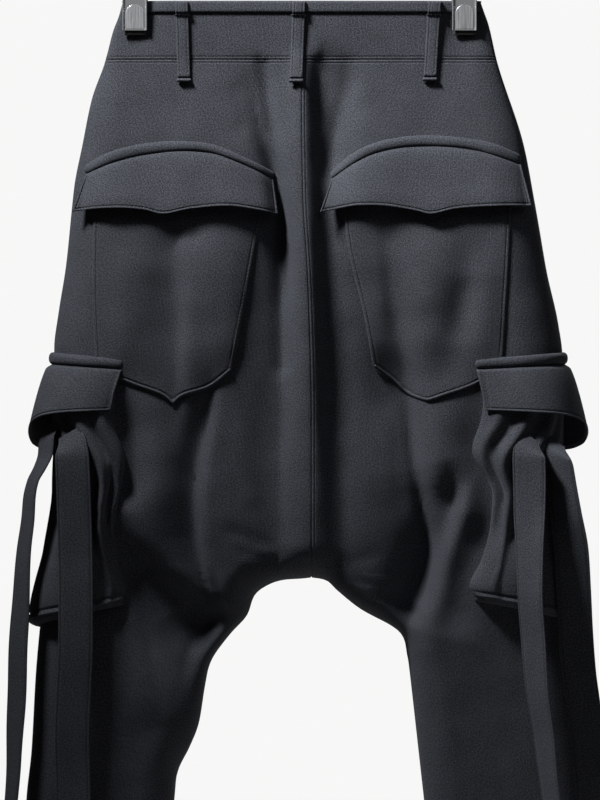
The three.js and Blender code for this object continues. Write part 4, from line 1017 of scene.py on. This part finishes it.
# Ripples of the flaps' lower edges: height, x and width
FLAP_RIPPLES = {
    LEFT: [(0.7, -210, 16), (-0.6, -120, 18), (0.8, -70, 14)],
    RIGHT: [(0.7, 60, 14), (-0.6, 112, 18), (0.8, 200, 16)]}


def inside(row, columns, first=3):
    """The parts of a flap's grid that its stitches run over: between the columns, and down to the row."""
    return slice(columns[0], columns[1] + 1), slice(first, row + 1)


def piped(distance):
    """The relief of a faced edge: rolled over, with a bead outside a row of stitches."""
    bead = hump(distance, PIPING["bead"], PIPING["at"], PIPING["width"])
    return bead + 1.5 * groove(distance, FLAP_STITCH) - 1.1 * (1 - rounded(distance / 0.9))


for word, side in SIDES.items():
    cut = POCKETS[side]
    long = length_of(cut["flap_low"])
    u = graded(long, STEP["flap"]) / long
    low = along_line(cut["flap_low"], u)
    top_line = follow(cut["welt_low"])
    top_x = np.interp(low[:, 0], (low[0, 0], low[-1, 0]), (cut["welt_low"][0][0], cut["welt_low"][-1][0]))
    top = np.stack([top_x, top_line(top_x) - 0.6], 1)
    tall = float(np.linalg.norm(low - top, axis=1).mean())
    v = graded(tall, STEP["flap_down"], FLAP_TOP_STEPS, FLAP_LOW_STEPS) / tall
    plan = mix(top[None], low[None], v[:, None, None])
    x, drop = plan[..., 0], plan[..., 1]
    beyond = seam_x[side](drop) - side * FLAP_BEND
    reached = side * np.minimum(side * x, side * beyond)
    from_low = (1 - v[:, None]) * np.linalg.norm(low - top, axis=1)
    from_side = np.minimum(u, 1 - u) * long
    relief = piped(np.minimum(from_low, from_side)) * eased(v[:, None] / FLAP_FREE)
    ripple = sum(hump(x, *row) for row in FLAP_RIPPLES[side]) * v[:, None] ** 1.5
    depth = cloth_depth(BACK, reached, mix(top[None, :, 1], drop, 0.6), side)
    points = spot(x, -(depth + FLAP_PROFILE(v)[:, None] + relief + ripple), drop)
    sheet_piece(f"back_flap_{word}", points, (0, BACK, 0), LINING_WALL, knit_trim)
    row, columns = rim(v * tall, u * long, FLAP_STITCH)
    sew(f"back_flap_stitches_{word}", points, (0, BACK, 0), [row], columns, *inside(row, columns))

# %% [markdown]
# The cargo pockets wrap round the side seams, so their plan is polar: a "turn" runs from -1 at the
# back edge over 0 at the side seam to 1 at the front edge. The flap flares out over the strap that
# cinches the bag, and the bag bulges again below it, in gathers that run out of the tie.

# %% Wrapped plans
CARGO = {
    LEFT: {
        "welt_inner": (-197, -200.2), "flap_inner": (-200.2, -214.5),
        "bag": [(0, -209, 9), (0.12, -209, 9), (0.33, -197.7, 9), (0.48, -203, 6),
                (0.68, -209, 8), (0.82, -203, 12), (0.94, -197, 14), (1, -199, 13)],
        "bag_low": (657, 681, 690),
    },
    RIGHT: {
        "welt_inner": (182.8, 183.9), "flap_inner": (185, 195.5),
        "bag": [(0, 194, 9), (0.12, 191, 9), (0.28, 181, 9), (0.5, 203, 6),
                (0.65, 200.7, 7), (0.82, 191, 12), (0.95, 178, 14), (1, 184, 13)],
        "bag_low": (652, 679, 688),
    },
}
cargo_welt_top = follow([(-1, 393), (0, 385.5), (1, 385.5)])
cargo_welt_low = follow([(-1, 404), (0, 398.5), (1, 398.5)])
cargo_flap_low = follow([
    (-1, 449), (-0.7, 450.5), (-0.4, 454), (-0.15, 463), (0, 476), (0.15, 487), (0.35, 493), (1, 496)])
cargo_flap_out = follow([(-1, 10), (-0.7, 18), (-0.4, 25), (0, 30), (0.5, 26), (1, 10)])
CARGO_BAG_TOP = 430
CARGO_FLAP_ROOT = 5.4
BAG_ROUNDING = 0.18
# The tie: how far the bag stands out beside it, how far down the bag it lies, and its pleats' height
GATHER = {"depth": 2.2, "share": 0.46, "height": 1.7}


def wrap_spot(side, inner_x, turn, drop, out):
    """A place round the side seam, standing out square to the leg's own curve."""
    turn, drop = np.broadcast_arrays(np.asarray(turn, float), np.asarray(drop, float))
    edge = seam_x[side](drop)

    def at(t):
        x = edge + (inner_x - edge) * (1 - np.cos(t * math.pi / 2))
        back = t < 0
        depth = np.where(back, cloth_depth(BACK, x, drop, side), cloth_depth(FRONT, x, drop, side))
        return np.stack([x, np.where(back, BACK, FRONT) * depth], -1)

    here, along = at(turn), unit(at(turn + 0.02) - at(turn - 0.02))
    return spot(here[..., 0] + side * along[..., 1] * out, here[..., 1] - side * along[..., 0] * out, drop)


def turns(count, fine=0.012):
    """Turns from -1 to 1, crowded at both edges."""
    edge = np.array([0, 1, 2.2, 4, 6.5, 9]) * fine
    return np.concatenate([edge - 1, np.linspace(edge[-1] - 1, 1 - edge[-1], count)[1:-1], 1 - edge[::-1]])


# %% Cargo welts
CARGO_WELT_END = 0.03
for word, side in SIDES.items():
    turn = turns(70)[None]
    share, out = welt_form(CARGO_WELT, rounded((1 - np.abs(turn)) / CARGO_WELT_END))
    drop = mix(cargo_welt_top(turn), cargo_welt_low(turn), share)
    points = wrap_spot(side, mix(*CARGO[side]["welt_inner"], share), turn, drop, out)
    sheet_piece(f"cargo_welt_{word}", points, (side, 0, 0), WELT_WALL, knit_trim)

# %% Cargo bags
# Pleats that run out of the tie: turn at the tie, turn above, turn below, height and width
PLEATS = [
    (-0.97, -0.86, -1.00, 2.8, 0.028), (-0.90, -0.74, -0.95, -2.8, 0.028),
    (-0.83, -0.62, -0.88, 4.0, 0.034),
    (-0.75, -0.50, -0.80, -3.2, 0.034), (-0.66, -0.38, -0.68, 3.8, 0.038),
    (-0.56, -0.28, -0.56, -3.0, 0.038),
    (-0.45, -0.20, -0.44, 3.0, 0.042), (-0.30, -0.12, -0.30, -2.6, 0.048), (-0.14, -0.06, -0.16, 2.4, 0.05),
    (0.06, 0.04, 0.02, -2.2, 0.055), (0.22, 0.16, 0.24, 2.4, 0.055), (0.42, 0.32, 0.46, -2.2, 0.055),
    (0.60, 0.50, 0.66, 2.6, 0.05), (0.76, 0.64, 0.82, -2.4, 0.045), (0.90, 0.78, 0.95, 2.6, 0.04)]
GUSSET = {"turn": 0.86, "height": 1.8, "width": 0.02, "from": 0.2, "over": 0.15}
# Above the tie the bag lies flat on the side seam
SLIM = {"by": 0.8, "share": 0.22, "height": 0.34, "turn": 0.34}
# The bag's low edge is a bead with a groove above it: height, share down the bag, width
HEM_BEAD, HEM_GROOVE = (2.2, 0.989, 0.008), (-1.4, 0.968, 0.005)
BAG_UNDERSIDE = [(1.0, 1.0), (1.007, 0.93), (1.014, 0.72), (1.02, 0.42), (1.023, 0.1)]


def cargo_shape(cargo):
    """The bag's back edge, bulge and lower edge as functions."""
    bag = cargo["bag"]
    low = cargo["bag_low"]
    return {
        "inner": follow([(share, inner) for share, inner, _ in bag]),
        "bulge": follow([(share, bulge) for share, _, bulge in bag]),
        "low": follow([(-1, low[0]), (0, low[1]), (1, low[2])]),
    }


def gathers(turn, share):
    """The pleats' relief round the tie."""
    tied = GATHER["share"]
    above, below = eased((tied - share) / 0.42), eased((share - tied) / 0.4)
    strength = hump(share, 1, tied, np.where(share < tied, 0.40, 0.25))
    relief = 0
    for tie, top, low, height, width in PLEATS:
        line = tie + (top - tie) * above + (low - tie) * below
        relief = relief + hump(turn, height, line, width * (1 + above + 0.8 * below))
    return GATHER["height"] * relief * strength


for word, side in SIDES.items():
    shape = cargo_shape(CARGO[side])
    turn = turns(120)[None]
    body = np.concatenate([np.linspace(0, 0.94, 72), np.linspace(0.95, 0.997, 10)])
    share = np.concatenate([body, [s for s, _ in BAG_UNDERSIDE]])[:, None]
    under = np.concatenate([np.ones(len(body)), [k for _, k in BAG_UNDERSIDE]])[:, None]
    drop = mix(CARGO_BAG_TOP, shape["low"](turn), share)
    edge = rounded((1 - np.abs(turn)) / BAG_ROUNDING)
    seam = hump(np.abs(turn), GUSSET["height"], GUSSET["turn"], GUSSET["width"])
    seam = seam * eased((share - GUSSET["from"]) / GUSSET["over"])
    bead = hump(share, *HEM_BEAD) + hump(share, *HEM_GROOVE)
    slim = 1 - hump(share, SLIM["by"], SLIM["share"], SLIM["height"]) * hump(turn, 1, 0, SLIM["turn"])
    fullness = shape["bulge"](share) * slim + gathers(turn, share) * slim**0.5
    out = (fullness + seam + bead) * under * edge + 0.15
    points = wrap_spot(side, shape["inner"](share), turn, drop, out)
    sheet_piece(f"cargo_bag_{word}", points, (side, 0, 0), LINING_WALL)
    column = index_at(turn[0], 2.2 * GUSSET["width"] - GUSSET["turn"])
    sew(f"cargo_bag_stitches_{word}", points, (side, 0, 0), columns=[column], down=slice(18, len(body)))

# %% Cargo flaps
CARGO_FLAP_HEIGHT = 52.0
CARGO_FLAP_TUCK = {"depth": 4.2, "share": 0.07}  # the flap's top goes in under the welt
CARGO_FLAP_ARC = 92.0  # from an edge to the side seam

for word, side in SIDES.items():
    turn = turns(96, 0.009)[None]
    tall = CARGO_FLAP_HEIGHT
    v = graded(tall, STEP["cargo_flap"], FLAP_TOP_STEPS, FLAP_LOW_STEPS) / tall
    share = v[:, None]
    drop = mix(cargo_welt_low(turn) - 0.8, cargo_flap_low(turn), share)
    stand = mix(CARGO_FLAP_ROOT, cargo_flap_out(turn), share**0.7)
    stand = stand - CARGO_FLAP_TUCK["depth"] * (1 - eased(share / CARGO_FLAP_TUCK["share"]))
    from_side = (1 - np.abs(turn)) * CARGO_FLAP_ARC
    relief = piped(np.minimum((1 - share) * tall, from_side)) * eased(share / FLAP_FREE)
    points = wrap_spot(side, mix(*CARGO[side]["flap_inner"], share), turn, drop, stand + relief)
    sheet_piece(f"cargo_flap_{word}", points, (side, 0, 0), LINING_WALL, knit_trim)
    row, columns = rim(v * tall, (turn[0] + 1) * CARGO_FLAP_ARC, FLAP_STITCH)
    sew(f"cargo_flap_stitches_{word}", points, (side, 0, 0), [row], columns, *inside(row, columns))

# %% [markdown]
# The straps that tie the cargo bags hang free down the legs. Each is a flat tube of the same knit,
# pressed with a soft edge and turned a little about its length, so that it shows its face or its edge.

# %% Straps
STRAP_WIDTH = 38
STRAP_CLEAR = 3
STRAP_ROOT = 5  # how far a strap's first row is sunk into its bag
STRAP_LEAN = 1.6  # how far a strap may come back to the leg from row to row
STRAP_BESIDE = 30  # the far left strap hangs beside the leg, at this depth all along
# Drop, x and turn about the length in degrees, from the tie to the free end
STRAPS = {
    "left_inner": (LEFT, [
        (472, -256, 12), (500, -254, 10), (540, -252.5, 8), (580, -251.5, 4), (614, -250.6, 4),
        (650, -250.3, 4), (702, -250.3, 3), (760, -253, 2), (803, -254.5, 2), (878, -253.5, 4),
        (960, -254, 6), (990, -255, 8)]),
    "left_outer": (LEFT, [
        (464, -275, 58), (479, -284, 60), (497, -286, 64), (512, -292, 68), (526, -299.5, 70),
        (545, -304, 68), (568, -306, 66), (600, -309.5, 63), (645, -312, 58), (690, -314, 54),
        (765, -317, 56), (834, -321, 64), (878, -324, 66), (950, -327, 64), (996, -328, 62)]),
    "right_inner": (RIGHT, [
        (474, 240.5, 22), (500, 241.3, 20), (548, 242, 24), (600, 241.6, 40), (650, 242.5, 48),
        (702, 245.3, 50), (760, 250, 54), (803, 256.2, 56), (878, 265.4, 61), (950, 270, 60),
        (985, 272, 58)]),
    "right_outer": (RIGHT, [
        (480, 270, 40), (500, 273.5, 44), (522, 276.5, 40), (561, 282, 26), (603, 288.2, 8),
        (640, 290.5, 2), (690, 293, 4), (730, 296, 8), (782, 303, 8), (878, 312, 8), (950, 316, 10),
        (992, 318, 10)]),
}
# How much higher than its middle a strap's top edge is at the right, and how narrow it is tied there
STRAP_SLANT = {"left_inner": 11, "left_outer": 0, "right_inner": -15, "right_outer": -12}
STRAP_TIED = {"width": 0.72, "length": 30}
STRAP_RELIEF = 0.9  # of the stitches' grooves and the rounded edge
STRAP_SWAY = {"long": (0.8, 0.021), "short": (0.35, 0.067), "across": 0.03, "from_tie": 60}
STRAP_END_STEPS = np.array([0, 0.25, 0.7, 1.4, 2.4, 4.0])
half = STRAP_WIDTH / 2
strap_across = graded(STRAP_WIDTH, STEP["strap"], STRIP_STEPS, STRIP_STEPS) - half
strap_columns = [index_at(strap_across, s * (half - LOOP_STITCH)) for s in (-1, 1)]


def bag_reach(side, shape, x, drop):
    """How far back the cargo bag reaches at x."""
    share = (drop - CARGO_BAG_TOP) / (shape["low"](-0.5) - CARGO_BAG_TOP)
    if share > 1.04:
        return float(cloth_depth(BACK, x, drop, side))
    edge = seam_x[side](drop)
    across = np.clip((x - edge) / (shape["inner"](share) - edge), 0, 1)
    turn = -math.acos(1 - across) * 2 / math.pi
    out = shape["bulge"](share) + GATHER["depth"]
    return float(-wrap_spot(side, shape["inner"](share), turn, drop, out)[1] * 1000)


for word, (side, path) in STRAPS.items():
    shape = cargo_shape(CARGO[side])
    reach, rows = 0, []
    for number, (drop, x, turn) in enumerate(path):
        angle = math.radians(turn)
        half_x, half_y = half * math.cos(angle), half * math.sin(angle)
        under = max(bag_reach(side, shape, x + u * half_x, drop) for u in (-1, 0, 1))
        reach = max(reach - STRAP_LEAN, under + STRAP_CLEAR + half_y)
        root = STRAP_CLEAR + STRAP_ROOT + half_y if number == 0 else 0
        rows.append((drop, x, angle, STRAP_BESIDE if word == "left_outer" else reach - root))
    drops = np.array([row[0] for row in rows], float)
    long = float(drops[-1] - drops[0])
    down = drops[0] + graded(long, STEP["strap_down"], np.array([0.0]), STRAP_END_STEPS)
    x, angle, depth = (follow([(row[0], row[k]) for row in rows])(down)[:, None] for k in (1, 2, 3))
    down = down[:, None]
    free = eased((down - drops[0]) / STRAP_TIED["length"])
    edge = half - np.abs(strap_across[None])
    across = strap_across[None] * mix(STRAP_TIED["width"], 1, free)
    slant = STRAP_SLANT[word] * across / half * (1 - free)
    (high, wave), (low, ripple) = STRAP_SWAY["long"], STRAP_SWAY["short"]
    sway = high * np.sin(down * wave + across * STRAP_SWAY["across"] + side)
    sway = sway + low * np.sin(down * ripple + 2 * side)
    rounding = 1 - rounded(np.minimum(edge, drops[-1] - down))
    proud = STRAP_RELIEF * (groove(edge, LOOP_STITCH) - rounding)
    proud = proud + sway * eased((down - drops[0]) / STRAP_SWAY["from_tie"])
    points = spot(x + across * np.cos(angle) - proud * np.sin(angle),
                  -depth - across * np.sin(angle) - proud * np.cos(angle), down - slant)
    sheet_piece(f"strap_{word}", points, (0, BACK, 0), CLOTH_WALL)
    sew(f"strap_stitches_{word}", points, (0, BACK, 0), columns=strap_columns, down=slice(4, -4))

# %% [markdown]
# The front closes plainly: a tab with a button where the waistband's ends meet, and the fly's
# facing below it, held by a curved row of stitches.

# %% Fly, tab and button
FLY_WIDTH = 38
# Drop, and share of the width that the fly's facing has there
FLY_EDGE = [(64.3, 1), (110, 1), (150, 1), (186, 1), (216, 0.85), (232, 0.45), (236, 0.05)]
TAB = {"width": 30, "top": 12.5, "low": 62.5, "proud": 2.4}
FACING_WALL = 1.2
FACING_RELIEF = 0.8
fly_line = [(centre_x(drop) + FLY_WIDTH * share, drop) for drop, share in FLY_EDGE]
fly_long = length_of(fly_line)
fly_shares = graded(fly_long, STEP["fly_down"], np.array([0, 1.0, 2.5])) / fly_long
outer = along_line(fly_line, fly_shares)
inner = np.stack([centre_x(outer[:, 1]) + 0.15, outer[:, 1]], 1)
across = graded(FLY_WIDTH, STEP["fly"]) / FLY_WIDTH
plan = mix(inner[:, None], outer[:, None], across[None, :, None])
distance = edge_distance(outer, plan)
height = BAG_FACE * rounded(distance / 1.6) + FACING_RELIEF * groove(distance)
height = height + roll(plan[..., 0] - centre_x(plan[..., 1]))
points = cloth_spot(FRONT, plan[..., 0], plan[..., 1], height, RIGHT)
sheet_piece("fly_placket", points, (0, FRONT, 0), FACING_WALL)
column = index_at((1 - across) * FLY_WIDTH, TOPSTITCH)
sew("fly_stitches", points, (0, FRONT, 0), columns=[column], down=slice(None, -4))

x = centre_top + SEAM_GAP + graded(TAB["width"], STEP["tab"])
drop = graded(TAB["low"] - TAB["top"], STEP["tab"]) + TAB["top"]
x, drop = np.meshgrid(x, drop)
distance = np.min([x - x.min(), x.max() - x, drop - drop.min(), drop.max() - drop], 0)
height = TAB["proud"] * rounded(distance / 1.4) + FACING_RELIEF * groove(distance, FLAP_STITCH)
points = cloth_spot(FRONT, x, drop, height)
sheet_piece("waistband_tab", points, (0, FRONT, 0), FACING_WALL, knit_trim)
inset = index_at(EDGE_STEPS, FLAP_STITCH)
rows, columns = ((inset, count - 1 - inset) for count in points.shape[:2])
sew("tab_stitches", points, (0, FRONT, 0), rows, columns, *inside(rows[1], columns, rows[0]))
print("front fastening made")

# %% [markdown]
# The hanger is the one thing of metal here. Its rod and hook are polished wire, each clip is a
# folded channel of sheet steel with a brushed plate let into it, and rubber pads grip the cloth.

# %% Metal, rubber and horn
steel, shader = finish("polished_steel", Metallic=0.8, Roughness=0.22, Base_Color=(0.60, 0.61, 0.63, 1))
bump(shader, noise(place_in(shader), 38, 3.0), 0.15, 0.0003)

brushed, shader = finish("brushed_steel", Metallic=0.72)
stretch = node(shader.id_data, "Mapping", place_in(shader), Scale=(900, 900, 26))
grain = noise(stretch.outputs["Vector"], 1.0, 4.0, 0.7)
feed(ramp(grain, (0.34, 0.35, 0.37), (0.70, 0.71, 0.73)), shader, "Base Color")
feed(ramp(grain, (0.24,) * 3, (0.42,) * 3), shader, "Roughness")
bump(shader, grain, 0.25, 0.0002)

rubber, shader = finish("black_rubber", Roughness=0.72)
dust = noise(place_in(shader), 420, 4.0)
feed(ramp(dust, (0.010,) * 3, (0.030,) * 3), shader, "Base Color")
bump(shader, dust, 0.3, 0.0003)

horn, shader = finish("dark_horn", Roughness=0.34, Coat_Weight=0.25)
swirl = noise(place_in(shader), 150, 5.0)
feed(ramp(swirl, (0.008, 0.007, 0.007), (0.060, 0.046, 0.036)), shader, "Base Color")


# %% Rod and hook
def settle(piece, name):
    """Puts a primitive's place and turn into its mesh."""
    piece.name = piece.data.name = name
    select_only(piece)
    bpy.ops.object.transform_apply(location=True, rotation=True, scale=True)
    return piece


def bevelled(piece, width, segments=3, angle=30):
    """Rounds the sharp edges of a piece, for good."""
    select_only(piece)
    edge = piece.modifiers.new("bevel", "BEVEL")
    edge.width, edge.segments, edge.limit_method = width / 1000, segments, "ANGLE"
    edge.angle_limit = math.radians(angle)
    bpy.ops.object.modifier_apply(modifier="bevel")
    bpy.ops.object.shade_smooth_by_angle(angle=math.radians(35))
    return piece


ROD = {"radius": 3, "z": -82, "from": -218, "to": 204}
rod_middle = (ROD["from"] + ROD["to"]) / 2
rod = added(bpy.ops.mesh.primitive_cylinder_add, vertices=64, radius=ROD["radius"] / 1000,
            depth=(ROD["to"] - ROD["from"]) / 1000, rotation=(0, math.pi / 2, 0),
            location=(rod_middle / 1000, 0, ROD["z"] / 1000))
dress(bevelled(settle(rod, "rod"), 0.8, 4), steel, "steel", "hanger_rod")

HOOK = {"wire": 2, "bend": 20, "from": -30, "to": 180, "tip": 3.4}
HOOK_STEM = [(0, -80.5), (0, -66), (1.5, -52), (9, -39)]
hook_centre = HOOK["wire"] - HOOK["bend"]
turned = np.radians(np.linspace(HOOK["from"], HOOK["to"], 12))
bend = HOOK["bend"]
hook_line = HOOK_STEM + [(bend * math.cos(a), hook_centre + bend * math.sin(a)) for a in turned]
hook = added(bpy.ops.curve.primitive_bezier_curve_add, location=(0, 0, 0))
hook.data.splines[0].bezier_points.add(len(hook_line) - 2)
for point, (x, z) in zip(hook.data.splines[0].bezier_points, hook_line):
    point.co = (x / 1000, 0, z / 1000)
    point.handle_left_type = point.handle_right_type = "AUTO"
hook.data.bevel_depth = HOOK["wire"] / 1000
hook.data.bevel_resolution = 6
hook.data.resolution_u = 8
hook.data.use_fill_caps = True
select_only(hook)
bpy.ops.object.convert(target="MESH")
hook.name = hook.data.name = "hook"
bevelled(hook, 0.6, 3, 60)
tip = added(bpy.ops.mesh.primitive_uv_sphere_add, segments=32, ring_count=16, radius=HOOK["tip"] / 1000,
            location=(-HOOK["bend"] / 1000, 0, hook_centre / 1000))
settle(tip, "hook_tip")
bpy.ops.object.shade_smooth()
dress(tip, steel, "steel")
dress(hook, steel, "steel", "hanger_hook")
print("hook reaches z", round(max(v.co.z for v in hook.data.vertices) * 1000, 1), "mm")

# %% Clips
CLIP = {"width": 27, "sheet": 1.2, "low": 32, "shoulder": 6, "crown": 3.6, "rail": 1.5, "rail_width": 1.6}
PAD = {"width": 24, "thickness": 2.5, "top": 2, "low": 37}
PLATE = {"width": 20, "top": 4, "low": 31, "proud": 0.6, "wall": 0.8}
pad_inner = CLIP_PINCH["depth"] + BINDING_PROUD + 2 * CLEARANCE
jaw_face = pad_inner + PAD["thickness"] + CLIP["sheet"] + 0.3
crown_face = CLIP["crown"] + CLIP["sheet"]
# One side of the clip's bent strip, from the crown over the rod to the jaw's tip: y and drop
over_rod = -HOOK_TO_WAIST - ROD["z"]
CLIP_SIDE = [
    (0, over_rod - ROD["radius"] - 3.4), (crown_face * 0.72, over_rod - ROD["radius"] - 2.2),
    (crown_face, over_rod), (crown_face + 0.3, over_rod + CLIP["shoulder"]),
    (jaw_face - 1.0, over_rod + 2.6 * CLIP["shoulder"]), (jaw_face, over_rod + 3.3 * CLIP["shoulder"]),
    (jaw_face, 10), (jaw_face, CLIP["low"])]
for word, side in SIDES.items():
    for face_word, face in FACES.items():
        line = spline(CLIP_SIDE, 90)
        across = graded(CLIP["width"], STEP["clip"], STRIP_STEPS, STRIP_STEPS) - CLIP["width"] / 2
        edge = CLIP["width"] / 2 - np.abs(across)
        rail = CLIP["rail"] * (1 - eased((edge - 1.0) / 1.2)) * rounded((edge + 0.2) / 0.8)
        lip = 0.5 * eased((line[:, 1] - CLIP["low"] + 2) / 1.4)
        slope = unit(np.gradient(line, axis=0))
        proud = rail[None] + lip[:, None] * (edge > 1.6)
        y = line[:, :1] + slope[:, 1:] * proud
        drop = line[:, 1:] - slope[:, :1] * proud
        points = spot(CLIP_X[side] + across[None], face * y, drop)
        jaw = grid_solid(f"clip_{word}_{face_word}", points, (0, face, 0), CLIP["sheet"])
        dress(jaw, steel, "steel", *([f"clip_{word}"] if face == BACK else []))
        # The brushed plate, with a round top
        tall = PLATE["low"] - PLATE["top"]
        down = graded(tall, STEP["plate"], STRIP_STEPS, STRIP_STEPS)
        half = PLATE["width"] / 2 * rounded((down + 0.3) / (PLATE["width"] / 2))
        share = graded(2.0, 0.1, STRIP_STEPS / 20, STRIP_STEPS / 20) - 1
        from_edge = np.minimum(half[:, None] * (1 - np.abs(share)), (tall - down)[:, None])
        y = jaw_face + PLATE["proud"] * rounded(from_edge / 0.5)
        points = spot(CLIP_X[side] + half[:, None] * share, face * y, (PLATE["top"] + down)[:, None])
        plate = grid_solid(f"clip_plate_{word}_{face_word}", points, (0, face, 0), PLATE["wall"])
        dress(plate, brushed, "steel")
        middle_y = face * (pad_inner + PAD["thickness"] / 2)
        pad = added(bpy.ops.mesh.primitive_cube_add, size=0.001,
                    scale=(PAD["width"], PAD["thickness"], PAD["low"] - PAD["top"]),
                    location=spot(CLIP_X[side], middle_y, (PAD["top"] + PAD["low"]) / 2))
        bevelled(settle(pad, f"clip_pad_{word}_{face_word}_rubber"), 0.9, 4)
        dress(pad, rubber, "rubber", f"clip_pad_{word}_{face_word}")

# %% Button
BUTTON = {"radius": 8.5, "thickness": 3, "drop": 38, "inset": 15, "hole": 1.0, "spread": 1.9}
DISH = {"radius": 5.4, "ahead": 0.0019, "cut": 0.002}
THREAD_REACH, THREAD_AHEAD = 0.75, 0.0008
button_x = centre_top + BUTTON["inset"]
button_face = float(cloth_depth(FRONT, button_x, BUTTON["drop"])) + TAB["proud"] + 2 * CLEARANCE
button_y = button_face + BUTTON["thickness"] / 2
button_place = spot(button_x, button_y, BUTTON["drop"])
button = added(bpy.ops.mesh.primitive_cylinder_add, vertices=96, radius=BUTTON["radius"] / 1000,
               depth=BUTTON["thickness"] / 1000, location=button_place, rotation=(math.pi / 2, 0, 0))
bevelled(settle(button, "button"), 0.8, 4)


def drilled(piece, radius, place, depth=0.01):
    """Cuts a round hole along Y."""
    drill = added(bpy.ops.mesh.primitive_cylinder_add, vertices=32, radius=radius / 1000, depth=depth,
                  location=place, rotation=(math.pi / 2, 0, 0))
    settle(drill, "drill")
    select_only(piece)
    cut = piece.modifiers.new("hole", "BOOLEAN")
    cut.operation, cut.object = "DIFFERENCE", drill
    bpy.ops.object.modifier_apply(modifier="hole")
    bpy.data.objects.remove(drill)


drilled(button, DISH["radius"], button_place + (0, DISH["ahead"], 0), DISH["cut"])
for angle in np.radians([45, 135, 225, 315]):
    offset = BUTTON["spread"] / 1000 * np.array([math.cos(angle), 0, math.sin(angle)])
    drilled(button, BUTTON["hole"], button_place + offset)
dress(button, horn, "button", "waist_button")
reach = THREAD_REACH * BUTTON["spread"] / 1000
crosses = [np.array([(s * reach, THREAD_AHEAD, s * slope * reach) for s in (-1, 1)]) for slope in (-1, 1)]
stitched("button_thread", [(button_place + line, np.array([[0.0, 1.0, 0.0]] * 2)) for line in crosses])
